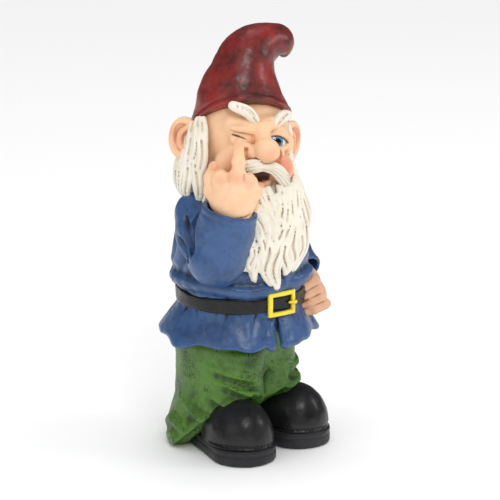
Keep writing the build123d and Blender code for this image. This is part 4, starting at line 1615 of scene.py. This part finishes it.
@dataclass
class Head:
    """The head: bulbous nose and cheeks, one eye shut in a wink, the other open, and an open mouth."""

    eye: tuple[float, float, float] = (14.5, -27.0, 5.0)
    eye_radius: float = 10.8
    gaze: tuple[float, float, float] = (-0.10, -0.99, 0.04)
    wink_line: tuple[tuple[float, ...], ...] = ((-9, -37.8, 5.8), (-15, -36.9, 7.5), (-24.5, -30.9, 10.3))

    def clay(self) -> Clay:
        """Models the head from its masses down to its wrinkles.

        Returns:
            The clay.
        """
        clay = Clay((-46, -58, -46), (46, 44, 46), 0.75 * STEP_SCALE)
        clay.egg((0, 3, 10), (37.5, 37, 38), soft=6)
        clay.egg((0, -4, -14), (33, 32, 26), soft=10)
        clay.strand([(0, 2, -14), (0, 2, -40)], (24, 24), soft=6)
        ridge = [(-22, -25, 18), (-9, -34, 17), (0, -33, 16), (9, -34, 19), (22, -25, 21)]
        clay.strand(ridge, [4.4] * len(ridge), soft=7)
        self._cheeks(clay)
        self._open_eye(clay)
        self._shut_eye(clay)
        self._nose(clay)
        self._mouth(clay)
        return clay

    @staticmethod
    def _cheeks(clay: Clay) -> None:
        """Adds the round cheeks, the right one pushed up by the wink.

        Args:
            clay: the clay to work on.
        """
        clay.egg((19.5, -27.0, -16.5), (13.8, 13.0, 12.8), soft=3.5)
        clay.egg((-19.5, -27.0, -12.5), (13.8, 13.0, 13.0), soft=5)
        clay.strand([(12, -40, -5), (17, -38, -2.5), (25, -31, -3)], (1.0, 1.6, 0.8), soft=3, carve=True)

    @staticmethod
    def _nose(clay: Clay) -> None:
        """Adds a bulbous nose with its wings and nostrils.

        Args:
            clay: the clay to work on.
        """
        clay.strand([(0, -35, 17), (0, -38.5, 9), (0, -42, 2)], (3.8, 5.0, 6.4), soft=4)
        clay.egg((0, -46.5, 0.0), (10.4, 9.6, 9.8), soft=2.5)
        for side in (-1, 1):
            clay.egg((side * 9.0, -40.5, -3.0), (4.8, 6.0, 5.0), soft=1.0)
            clay.egg((side * 6.0, -45.0, -7.6), (2.6, 3.2, 2.8), soft=1.0, carve=True)
            crease = [(side * 13.2, -38, 0), (side * 14.6, -37.5, -5), (side * 14.0, -37.5, -10)]
            crease = smooth_path(crease, 4)
            clay.strand(crease, np.linspace(0.6, 1.9, len(crease)), soft=3.0, carve=True)

    def _open_eye(self, clay: Clay) -> None:
        """Sinks the left eye's socket and lays its lids over the ball.

        Args:
            clay: the clay to work on.
        """
        x, y, z = self.eye
        clay.egg((x + 1, y - 9.5, z + 1), (12.5, 9, 10.0), soft=4, carve=True)
        clay.egg((x + 11.5, y - 1.5, z - 1), (5.0, 7.0, 8.5), soft=3)
        r = self.eye_radius + 0.7
        upper, lower, fold = [], [], []
        for t in np.linspace(-1, 1, 13):
            yaw = math.radians(-6 + 54 * t)
            for store, pitch, lift in (
                (upper, 36 * (1 - 0.8 * t * t) - 4 * t, 0.2),
                (lower, -27 * (1 - 0.75 * t * t) - 4 * t, 0.0),
                (fold, 60 * (1 - 0.45 * t * t) - 4 * t, 0.0),
            ):
                tip = math.radians(pitch)
                store.append(np.array(self.eye) + (r + lift) * self._look(yaw, tip))
        clay.strand(fold, 1.8 + 0.8 * np.sin(np.linspace(0, math.pi, 13)), soft=3.0)
        clay.strand(upper, 0.9 + 0.75 * np.sin(np.linspace(0, math.pi, 13)), soft=0.9)
        clay.strand(lower, 1.3 + 0.6 * np.sin(np.linspace(0, math.pi, 13)), soft=2.0)
        bag = [p + (0, 0.5, -4.6) for p in lower[2:11]]
        clay.strand(bag, 1.2 + 0.8 * np.sin(np.linspace(0, math.pi, 9)), soft=2.5)

    @staticmethod
    def _shut_eye(clay: Clay) -> None:
        """Models the winking eye: a shut line, the squeezed lids, and the creases that run from it.

        Args:
            clay: the clay to work on.
        """
        clay.egg((-14.5, -30.5, 6.5), (10.5, 6.2, 7.5), soft=5)
        for line, radius, soft in (
            (((-6, -37.2, 12), (-14, -37.2, 14.4), (-24, -31, 14.5)), 1.9, 2.5),
            (((-6, -38, 0.6), (-14, -38, 2.0), (-23.5, -32.5, 5.5)), 1.7, 2.5),
            (((-5, -38, 10), (-4.2, -38.5, 15), (-5, -37, 20)), 1.6, 2.5),
        ):
            clay.fold(line, radius, soft=soft, floor=0.5, span=(0.2, 2.9))
        for line, radius in (
            (((-8.5, -38.2, 5.6), (-15, -37.4, 7.4), (-25.5, -30.6, 10.6)), 0.8),
            (((-6, -38.4, 9.0), (-14, -37.4, 11.2), (-23.5, -31.5, 12.2)), 0.6),
            (((-9, -38.6, -1.4), (-15, -38.2, -0.4), (-22, -34, 2.2)), 0.5),
            (((-26, -30, 10.4), (-30, -26.4, 13.2), (-33.4, -22, 17.0)), 0.75),
            (((-26.4, -29.6, 8.6), (-31, -25, 9.8), (-35, -20, 11.2)), 0.75),
            (((-26, -29.8, 6.6), (-30.5, -26, 5.6), (-34.6, -21.5, 5.6)), 0.7),
            (((-25, -31, 4.4), (-29, -28.5, 1.8), (-32.5, -25, 0.2)), 0.6),
            (((-2.6, -38.4, 12), (-3.6, -38.4, 17), (-3.0, -36.6, 22)), 1.0),
            (((3.4, -38.0, 13), (3.4, -38.0, 17.5), (4.4, -36.4, 22)), 1.0),
        ):
            clay.fold(line, radius, soft=1.3, floor=0.35, span=(0.1, 2.9), carve=True)

    @staticmethod
    def _mouth(clay: Clay) -> None:
        """Opens the mouth under the moustache, with a full lower lip and a round chin.

        Args:
            clay: the clay to work on.
        """
        clay.egg((0, -30, -31), (12.5, 11.5, 11), soft=5)
        clay.strand([(-10, -34.5, -24), (0, -40, -28.0), (10, -35, -26)], (2.4, 3.4, 2.4), soft=2.0)
        clay.egg((0, -40, -20.5), (10.0, 7.0, 4.8), spin("Y", 8), soft=1.5, carve=True)

    def build(self, studio: Studio, paints: Paints) -> None:
        """Builds and paints the head and the open eye.

        Args:
            studio: where its pieces are built.
            paints: the finishes.
        """
        studio.piece(
            "head_cast", self.clay(), "head", paints.skin(), HEAD,
            lumps=((9, 0.2), (3, 0.06)), reach=1.3,
            dabs=[
                Dab((21, -38, -15), 14, 0.9), Dab((-20, -38, -11), 13, 0.6),
                Dab((0, -55, -2), 9, 0.3), Dab((0, -42, -29), 8, 0.45),
            ],
            stains=[
                Dab((0, -37, -20), 7.5, 1.0), Dab((-5, -35, -19.5), 5, 1.0), Dab((6, -35, -21), 5, 1.0),
                *[Dab(tuple(p), 0.95, 0.95) for p in smooth_path(self.wink_line, 12)],
                *[Dab(tuple(p), 1.3, 0.9) for p in self._lash()],
            ],
        )
        self._eyeball(studio, paints)

    @staticmethod
    def _look(yaw: float, pitch: float) -> np.ndarray:
        """The unit vector that a look points along, from its turn to the left and its rise, in radians."""
        return np.array([math.sin(yaw) * math.cos(pitch), -math.cos(yaw) * math.cos(pitch), math.sin(pitch)])

    def _lash(self) -> np.ndarray:
        """The dark line along the open eye's upper lid.

        Returns:
            Its points.
        """
        points = []
        for t in np.linspace(-1, 1, 40):
            yaw = math.radians(-6 + 54 * t)
            tip = math.radians(28.0 * (1 - 0.8 * t * t) - 4 * t)
            points.append(np.array(self.eye) + (self.eye_radius + 0.9) * self._look(yaw, tip))
        return np.array(points)

    def _eyeball(self, studio: Studio, paints: Paints) -> None:
        """Builds the ball of the open eye as a fine mesh, and leaves the distance from its pupil on it.

        Args:
            studio: where its pieces are built.
            paints: the finishes.
        """
        clay = Clay(np.array(self.eye) - 13, np.array(self.eye) + 13, 0.4)
        clay.egg(self.eye, [self.eye_radius] * 3, soft=0)
        made = studio.piece(
            "left_eyeball_painted", clay, "left_eyeball", paints.eye(), HEAD, lumps=()
        )
        world = np.array([v.co[:] for v in made.data.vertices])
        local = HEAD.within((world - studio.axis) / MM) - self.eye
        gaze = np.array(self.gaze) / np.linalg.norm(self.gaze)
        spot = gaze * self.eye_radius
        glint = spot + (-2.2, 0.0, 2.3)
        for label, centre in (("from_pupil", spot), ("from_glint", glint)):
            away = np.linalg.norm(local - centre, axis=1)
            made.data.attributes.new(label, "FLOAT", "POINT").data.foreach_set("value", away)


@dataclass
class Ears:
    """Large ears that stand out at a splay, each a cupped leaf with a rolled rim."""

    centre: tuple[float, float, float] = (46.0, 8.0, 0.0)
    splay: float = 60.0

    def clay(self, side: Side) -> tuple[Clay, Place]:
        """Models one ear in a frame whose x runs out to its rim, and y to the back.

        Args:
            side: which one.

        Returns:
            The clay.
        """
        splay = math.radians(self.splay)
        outward = np.array([side.value * math.sin(splay), math.cos(splay), 0.0])
        turn = np.stack([outward, np.cross((0, 0, 1), outward) * side.value, (0, 0, 1)], axis=1)
        centre = np.array([side.value * self.centre[0], self.centre[1], self.centre[2]])
        base = Place.of(centre, turn)
        clay = Clay((-18, -10, -22), (15, 10, 22), 0.55 * STEP_SCALE)
        clay.egg((0, 0, 1), (10.5, 3.6, 15.5), soft=2)
        clay.egg((-8, 0, -4), (8, 4.2, 11), soft=4)
        rim = [
            (9.2 * math.sin(a) - 0.4, -2.2, 1 + 14.2 * math.cos(a)) for a in np.linspace(-0.9, 2.9, 17)
        ]
        clay.strand(rim, 2.0 + 0.5 * np.sin(np.linspace(0, math.pi, 17)), soft=2.0)
        clay.egg((1.2, -4.4, 3.2), (6.4, 3.4, 9.6), spin("Y", 8), soft=1.6, carve=True)
        clay.egg((-3.4, -4.6, -2.2), (4.4, 3.2, 5.0), soft=1.6, carve=True)
        fold = smooth_path([(-3, -2.4, 10.5), (2.6, -2.8, 5.0), (3.0, -2.8, -3.0), (-1.0, -2.6, -8.0)], 5)
        clay.strand(fold, 1.2 + 0.3 * np.sin(np.linspace(0, math.pi, len(fold))), soft=1.8)
        clay.egg((-7.5, -3.2, -2.0), (2.6, 2.6, 4.2), soft=2)
        clay.egg((-2.5, -0.6, -12.5), (4.8, 3.4, 4.6), soft=3)
        place = Place.of(HEAD.out(np.array([base.centre]))[0], np.array(HEAD.turn) @ turn)
        return clay, place

    def build(self, studio: Studio, paints: Paints) -> None:
        """Builds and paints both ears.

        Args:
            studio: where its pieces are built.
            paints: the finishes.
        """
        flesh = paints.skin()
        for side, name in ((Side.RIGHT, "right"), (Side.LEFT, "left")):
            clay, place = self.clay(side)
            studio.piece(
                f"{name}_ear_cast", clay, f"{name}_ear", flesh, place,
                lumps=((5, 0.12),), reach=1.6, dabs=[Dab((0, -4, 0), 12, 0.45), Dab((9, -2, 6), 9, 0.4)],
            )


@dataclass
class Locks:
    """What lays wavy locks of hair: bundles of tapering strands with fine grooves between them."""

    strand: float = 2.0
    soft: float = 0.8

    def lay(self, clay: Clay, path: np.ndarray, width: float, outward: np.ndarray, count: int = 3) -> None:
        """Lays one lock along a path.

        Args:
            clay: what it is laid on.
            path: the lock's middle line, one point a row.
            width: how wide it is where it is widest.
            outward: the direction away from the surface at each point of the path.
            count: how many strands it has.
        """
        along = np.gradient(path, axis=0)
        along /= np.linalg.norm(along, axis=1)[:, None]
        across = np.cross(along, outward)
        across /= np.maximum(np.linalg.norm(across, axis=1), 1e-6)[:, None]
        t = np.linspace(0, 1, len(path))
        shape = np.clip(np.sin(np.clip(0.16 + 0.84 * t, 0, 1) * math.pi), 0, 1) ** 0.6
        shape = np.maximum(shape, 0.15)
        for number in range(count):
            side = (number - (count - 1) / 2) / max(count - 1, 1)
            line = path + across * (side * width * shape)[:, None]
            line = line + outward * ((0.5 - abs(side)) * 0.55 * width * shape)[:, None]
            radius = self.strand * (0.55 + 0.45 * shape) * (1.1 - 0.2 * abs(side))
            radius[-1] = 0.45
            clay.strand(line, radius, soft=self.soft)
        for side in (-0.25, 0.25):
            line = path + across * (side * width * shape)[:, None] + outward * (self.strand * shape)[:, None]
            clay.strand(line[1:], 0.75 * shape[1:], soft=0.9, carve=True)


@dataclass
class Hair:
    """Long hair round the back and sides of the head, combed down to the collar."""

    rings: tuple[tuple[float, ...], ...] = (
        (-45.0, 0.0, 1.0, 41.0, 40.0),
        (-36.0, 0.0, 1.0, 44.5, 44.0),
        (-22.0, 0.0, 1.0, 45.0, 45.0),
        (-4.0, 0.0, 1.0, 42.5, 43.0),
        (18.0, 0.0, 1.0, 39.5, 40.0),
        (26.0, 0.0, 1.0, 37.0, 38.0),
    )
    face_angle: float = 76.0
    left_angle: float = 98.0

    def clay(self) -> Clay:
        """Models the mass of the hair and its locks, in a frame that turns with the head.

        Returns:
            The clay.
        """
        clay = Clay((-54, -34, -52), (54, 54, 26), 0.85 * STEP_SCALE)
        clay.tower(self.rings, edge=4.0)
        at = clay.everywhere()
        bearing = np.degrees(np.arctan2(np.abs(at[..., 0]), -at[..., 1]))
        edge = np.where(at[..., 0] > 0, self.left_angle, self.face_angle)
        front = (edge + 7 - bearing) * 0.72
        clay.value = -soft_min(-clay.value, -front, 3.0).astype(np.float32)
        inner = np.hypot(at[..., 0], at[..., 1] - 1) - 33.0
        clay.value = -soft_min(-clay.value, inner, 1.0).astype(np.float32)
        rings = smooth_path(self.rings, 6)
        locks = Locks(strand=2.05)
        rng = np.random.default_rng(5)
        for row, (top, reach, lift) in enumerate(((22, 40, 0.2), (6, 44, 1.0), (-10, 38, 1.6))):
            for start in np.arange(self.left_angle, 360 - self.face_angle + 1, 8.4):
                bearing = start + rng.uniform(-2.5, 2.5) + 4 * (row % 2)
                side = -1 if bearing > 180 else 1
                from_face = min(bearing - self.left_angle, 360 - self.face_angle - bearing)
                sweep = -side * 7.0 * math.exp(-from_face / 30)
                high = top + rng.uniform(-4, 4)
                low = max(high - reach - rng.uniform(-6, 6), -47.0 + rng.uniform(-2.5, 2.5))
                phase, wave = rng.uniform(0, 6.28), rng.uniform(1.6, 3.4)
                path, outward = [], []
                for t in np.linspace(0, 1, 14):
                    curl = wave * math.sin(5.2 * t + phase) * (0.3 + t)
                    turn = bearing + sweep * math.sin(t * math.pi) * 1.4 + curl
                    height = high + (low - high) * t
                    path.append(ring_point(rings, height, turn, 0.4 + lift * math.sin(t * math.pi)))
                    outward.append((math.sin(math.radians(turn)), -math.cos(math.radians(turn)), 0.0))
                locks.lay(clay, np.array(path), rng.uniform(6.4, 7.8), np.array(outward), 3)
        clay.cut((0, 0, Hat.brim_height + 1.5), spin("X", -Hat.brim_slope)[:, 2], 2.5)
        return clay

    def build(self, studio: Studio, paints: Paints) -> None:
        """Builds and paints the hair.

        Args:
            studio: where its pieces are built.
            paints: the finishes.
        """
        studio.piece(
            "hair_carved", self.clay(), "hair", paints.hair(), HEAD,
            lumps=((4, 0.12), (1.8, 0.05)), reach=1.2,
        )


@dataclass
class Beard:
    """A long wavy beard that falls to separate tips, with a moustache over the mouth."""

    rings: tuple[tuple[float, ...], ...] = (
        (140.0, 0.0, -47.0, 21.0, 9.0),
        (150.0, 0.0, -43.0, 27.0, 13.5),
        (162.0, 0.0, -37.0, 33.0, 20.0),
        (178.0, 0.0, -29.0, 38.5, 28.0),
        (194.0, 0.0, -22.0, 41.5, 33.5),
        (210.0, 0.0, -15.0, 41.0, 34.0),
        (222.0, 0.0, -11.0, 39.0, 31.0),
        (236.0, 0.0, -8.0, 37.0, 29.0),
    )
    turn: float = -20.0

    def clay(self) -> Clay:
        """Models the mass of the beard and its locks.

        Returns:
            The clay.
        """
        clay = Clay((-52, -66, 134), (52, 8, 240), 0.85 * STEP_SCALE)
        core = [(z, x, y, w - 5.5, d - 5.0) for z, x, y, w, d in self.rings if 155 < z < 224]
        clay.tower(core, edge=5.0)
        clay.cut((0, 0, 0), (0, 1, 0), 3.0)
        clay.egg((1, -42, 222), (11, 15, 8), soft=4, carve=True)
        rings = smooth_path(self.rings, 6)
        rng = np.random.default_rng(23)
        locks = Locks(strand=2.15)
        for tier, (top, spread, lift, count) in enumerate(
            ((214, 88, -0.8, 21), (207, 80, 0.8, 18), (197, 70, 2.0, 15), (185, 56, 2.8, 10))
        ):
            for bearing in np.linspace(-spread, spread, count):
                share = abs(bearing) / 90
                high = top + 16 * share**1.5 + rng.uniform(-4, 4)
                low = 143 + 30 * share**1.7 + rng.uniform(-6, 12) + (3 - tier) * 3
                start = bearing + rng.uniform(-2.5, 2.5)
                phase = 0.9 * bearing / 14 + rng.uniform(-0.7, 0.7)
                wave = rng.uniform(4.5, 8.0)
                path, outward = [], []
                for t in np.linspace(0, 1, 18):
                    height = high + (low - high) * t
                    angle = start * (1 - 0.12 * t) + wave * math.sin(7.4 * t + phase) * (0.35 + 0.75 * t)
                    out = lift * math.sin(min(1.0, 1.25 * t) * math.pi * 0.9) - 0.6
                    path.append(ring_point(rings, height, angle, out))
                    outward.append((math.sin(math.radians(angle)), -math.cos(math.radians(angle)), 0.0))
                locks.lay(clay, np.array(path), rng.uniform(6.6, 8.0), np.array(outward), 3)
        return clay

    def moustache(self) -> Clay:
        """Models the moustache: two grooved lobes that part under the nose.

        Returns:
            The clay.
        """
        clay = Clay((-40, -58, -44), (42, -14, 0), 0.6 * STEP_SCALE)
        for lobe, radii in (
            (((0, -45.5, -13), (-7, -47.5, -12), (-14, -45, -13.5), (-20, -40, -16)), (3.4, 5.0, 5.2, 2.8)),
            (
                ((0, -45.5, -13), (8, -47, -14), (17, -43.5, -20.5), (25, -37, -28), (31, -29.5, -33.5)),
                (3.4, 5.0, 5.4, 4.2, 2.0),
            ),
        ):
            middle = smooth_path(lobe, 6)
            size = smooth_path([(r, r) for r in radii], 6)[:, 0]
            clay.strand(middle, size, soft=0.6)
            outward = np.array([(p[0] * 0.5, -30.0, 6.0) for p in middle])
            outward /= np.linalg.norm(outward, axis=1)[:, None]
            along = np.gradient(middle, axis=0)
            along /= np.linalg.norm(along, axis=1)[:, None]
            across = np.cross(along, outward)
            for number in range(6):
                turn = math.radians(-75 + 30 * number)
                wobble = 0.3 * np.sin(np.linspace(0, 5, len(middle)) + number)
                away = outward * math.cos(turn) + across * math.sin(turn)
                line = middle + away * (size + wobble)[:, None]
                clay.strand(line, np.full(len(line), 0.75), soft=0.8, carve=True)
        return clay

    def build(self, studio: Studio, paints: Paints) -> None:
        """Builds and paints the beard and the moustache.

        Args:
            studio: where its pieces are built.
            paints: the finishes.
        """
        ivory = paints.hair()
        studio.piece(
            "beard_carved", self.clay(), "beard", ivory, Place.of((0, 0, 0), spin("Z", self.turn)),
            lumps=((4, 0.12), (1.8, 0.05)), reach=1.3,
        )
        studio.piece(
            "moustache_carved", self.moustache(), "moustache", ivory, HEAD,
            lumps=((3, 0.08),), reach=0.9,
        )


@dataclass
class Brows:
    """Bushy eyebrows that sweep up from the nose."""

    right: tuple[tuple[float, ...], ...] = ((-8.0, -38.0, 22.5), (-15.0, -36.5, 28.5), (-24.5, -30.0, 32.0))
    left: tuple[tuple[float, ...], ...] = ((10.5, -37.5, 20.5), (17.0, -35.0, 25.5), (25.0, -28.0, 26.0))
    groove: tuple[tuple[float, ...], ...] = ((-2.4, -1.6, -4.2), (-0.4, -3.9, -0.6), (1.8, -2.6, 3.4))

    def clay(self, side: Side) -> Clay:
        """Models one brow as a thick tapering strand with slanting grooves across it.

        Args:
            side: which one.

        Returns:
            The clay.
        """
        clay = Clay((-38, -50, 12), (38, -16, 42), 0.55 * STEP_SCALE)
        middle = smooth_path(self.right if side is Side.RIGHT else self.left, 9)
        clay.strand(middle, 3.0 + 1.3 * np.sin(np.linspace(0.3, 2.8, len(middle))), soft=1.0)
        for number in range(7):
            root = middle[2 + int(number * (len(middle) - 5) / 6)]
            groove = [root + (side.value * x, y, z) for x, y, z in self.groove]
            clay.strand(smooth_path(groove, 3), [0.55] * 7, soft=1.0, carve=True)
        return clay

    def build(self, studio: Studio, paints: Paints) -> None:
        """Builds and paints both brows.

        Args:
            studio: where its pieces are built.
            paints: the finishes.
        """
        ivory = paints.hair()
        for side, name in ((Side.RIGHT, "right"), (Side.LEFT, "left")):
            studio.piece(
                f"{name}_eyebrow_carved", self.clay(side), f"{name}_eyebrow", ivory, HEAD,
                lumps=((3, 0.06),), reach=0.9,
            )


@dataclass
class Hat:
    """A tall pointed hat whose top flops over to a blunt tip."""

    cone: tuple[tuple[float, ...], ...] = (
        (-20.0, 0.0, 0.0, 46.0, 46.0),
        (-6.0, 0.0, 0.0, 43.5, 43.5),
        (16.0, 0.0, 0.0, 40.0, 40.0),
        (27.5, 0.5, 0.0, 37.4, 37.4),
        (40.0, -1.4, 0.0, 33.0, 33.0),
        (53.0, -0.9, 0.0, 28.4, 28.4),
        (62.0, 0.8, 0.0, 24.4, 24.8),
        (72.0, 3.6, 0.0, 19.0, 19.4),
    )
    top: tuple[tuple[float, ...], ...] = (
        (1.7, 0.0, 61.0, 22.6),
        (5.7, 0.0, 69.2, 18.6),
        (13.8, 0.0, 75.4, 15.6),
        (23.0, 0.0, 77.6, 13.2),
        (31.2, 0.0, 77.8, 11.6),
        (33.0, 0.5, 76.8, 11.2),
    )
    bend: float = -16.0
    brim_height: float = 16.5
    brim_slope: float = 32.0

    def clay(self) -> Clay:
        """Models the cone, its fold, the dents in it and the rolled brim, in the bend's frame.

        Returns:
            The clay.
        """
        place = Place.of(HEAD.centre, spin("Z", self.bend))
        clay = Clay((-52, -50, -6), (54, 50, 100), 0.9 * STEP_SCALE)
        at = clay.everywhere()
        clay.tower(self.cone, edge=6)
        curve = smooth_path(self.top, 5)
        clay.strand(curve[:, :3], curve[:, 3], soft=4)
        for line, radius, soft in (
            (((34, -14, 66), (31.5, -6, 64.5), (31, 0, 64), (31.5, 6, 64.5), (34, 14, 66)), 2.6, 5),
                        (((-33, 20, 24), (-31, 19, 38), (-24, 18, 52)), 1.4, 6),
            (((2, 40, 20), (0, 36.5, 34), (-2, 31, 48)), 1.6, 6),
                    ):
            clay.fold(line, radius, soft=soft, floor=0.3, span=(0.1, 3.0), carve=True)
        head_turn = np.array(HEAD.turn)
        brim_turn = head_turn @ spin("X", -self.brim_slope)
        origin = place.within(HEAD.out(np.array([(0, 0, self.brim_height)])))[0]
        normal = brim_turn[:, 2] @ np.array(place.turn)
        above = (at - origin) @ normal
        shell = clay.value.copy()
        rim = np.hypot(shell + 0.9, above - 1.4) - 1.9
        groove = np.hypot(shell - 0.5, above - 4.6) - 0.9
        cut = -soft_min(-shell, above, 1.6)
        cut = soft_min(cut, rim, 1.6)
        clay.value = (-soft_min(-cut, groove, 1.4)).astype(np.float32)
        return clay

    def build(self, studio: Studio, paints: Paints) -> None:
        """Builds and paints the hat.

        Args:
            studio: where its pieces are built.
            paints: the finishes.
        """
        studio.piece(
            "hat_cast", self.clay(), "hat", paints.hat(),
            Place.of(HEAD.centre, spin("Z", self.bend)), lumps=((15, 0.6), (5, 0.2), (2.2, 0.08)), reach=2.2,
        )


# ---------------------------------------------------------------- the room
@dataclass
class Room:
    """A plain pale floor, soft studio lights, and the camera."""

    azimuth: float = -45.5
    elevation: float = 14.0
    distance: float = 1.9
    across: float = 0.3984
    aim: tuple[float, float, float] = (0.0, 0.0, 0.165)
    offset: tuple[float, float] = (0.0072, -0.0064)
    sky: float = 0.93
    sky_reflected: float = 0.12

    def camera(self, axis: np.ndarray) -> None:
        """Sets the camera up at its viewing angle.

        Args:
            axis: where the body's upright axis stands.
        """
        turn, rise = math.radians(self.azimuth), math.radians(self.elevation)
        ahead = Vector((-math.sin(turn) * math.cos(rise), math.cos(turn) * math.cos(rise), -math.sin(rise)))
        right = Vector((math.cos(turn), math.sin(turn), 0.0))
        up = right.cross(ahead)
        target = Vector(self.aim) + Vector(axis) + right * self.offset[0] + up * self.offset[1]
        data = bpy.data.cameras.new("camera")
        data.sensor_width = 36.0
        data.lens = data.sensor_width * self.distance / self.across
        camera = bpy.data.objects.new("camera", data)
        camera.matrix_world = Matrix.Translation(target - ahead * self.distance) @ Matrix(
            (
                (right.x, up.x, -ahead.x),
                (right.y, up.y, -ahead.y),
                (right.z, up.z, -ahead.z),
            )
        ).to_4x4()
        bpy.context.scene.collection.objects.link(camera)
        bpy.context.scene.camera = camera

    @staticmethod
    def light(name: str, place: Point, size: float, power: float, tint: Point = (1, 1, 1)) -> None:
        """Hangs a square soft light that faces the gnome.

        Args:
            name: the light's name.
            place: where it hangs, in metres.
            size: the length of its side, in metres.
            power: its power in watts.
            tint: its colour.
        """
        data = bpy.data.lights.new(name, "AREA")
        data.size, data.energy, data.color = size, power, tint
        lamp = bpy.data.objects.new(name, data)
        lamp.location = place
        aim = Vector((0, 0, 0.17)) - lamp.location
        lamp.rotation_euler = aim.to_track_quat("-Z", "Y").to_euler()
        bpy.context.scene.collection.objects.link(lamp)

    def build(self) -> None:
        """Builds the floor, the lights and the sky."""
        mesh = bpy.data.meshes.new("floor")
        reach = 6.0
        corners = [(-reach, -reach, 0), (reach, -reach, 0), (reach, reach, 0), (-reach, reach, 0)]
        mesh.from_pydata([Vector(c) - Vector((0, 0, 0.0003)) for c in corners], [], [(0, 1, 2, 3)])
        floor = bpy.data.objects.new("floor", mesh)
        bpy.context.scene.collection.objects.link(floor)
        pale = bpy.data.materials.new("floor_pale")
        pale.use_nodes = True
        surface = pale.node_tree.nodes["Principled BSDF"]
        surface.inputs["Base Color"].default_value = (0.93, 0.93, 0.93, 1)
        surface.inputs["Roughness"].default_value = 0.9
        surface.inputs["Specular IOR Level"].default_value = 0.1
        mesh.materials.append(pale)
        world = bpy.data.worlds.new("studio")
        world.use_nodes = True
        tree = world.node_tree
        ray = tree.nodes.new("ShaderNodeLightPath")
        strength = tree.nodes.new("ShaderNodeMapRange")
        strength.inputs["To Min"].default_value = self.sky
        strength.inputs["To Max"].default_value = self.sky_reflected
        tree.links.new(ray.outputs["Is Glossy Ray"], strength.inputs["Value"])
        tree.nodes["Background"].inputs["Color"].default_value = (1, 1, 1, 1)
        tree.links.new(strength.outputs["Result"], tree.nodes["Background"].inputs["Strength"])
        bpy.context.scene.world = world
        bpy.context.scene.view_settings.view_transform = "Standard"
        self.light("key", (-1.1, -1.7, 1.9), 0.7, 15)
        self.light("fill", (-2.2, 0.1, 0.9), 1.0, 3)
        self.light("top", (0.4, 0.2, 2.3), 0.8, 4)
        self.light("side", (1.4, -1.6, 1.2), 0.6, 7)


def main() -> None:
    """Loads the frame, sets up the camera, builds every piece around it, and builds the room."""
    logging.basicConfig(level=logging.INFO, format="%(name)s %(message)s")
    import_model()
    studio = Studio()
    room = Room()
    room.camera(studio.axis)
    paints = Paints(Shades())
    for kind in (Boots, Trousers, Jacket, Belt, Sleeves, Hands, Head, Ears, Hair, Beard, Brows, Hat):
        kind().build(studio, paints)
        LOG.info("built %s", kind.__name__)
    room.build()


if __name__ == "__main__":
    main()
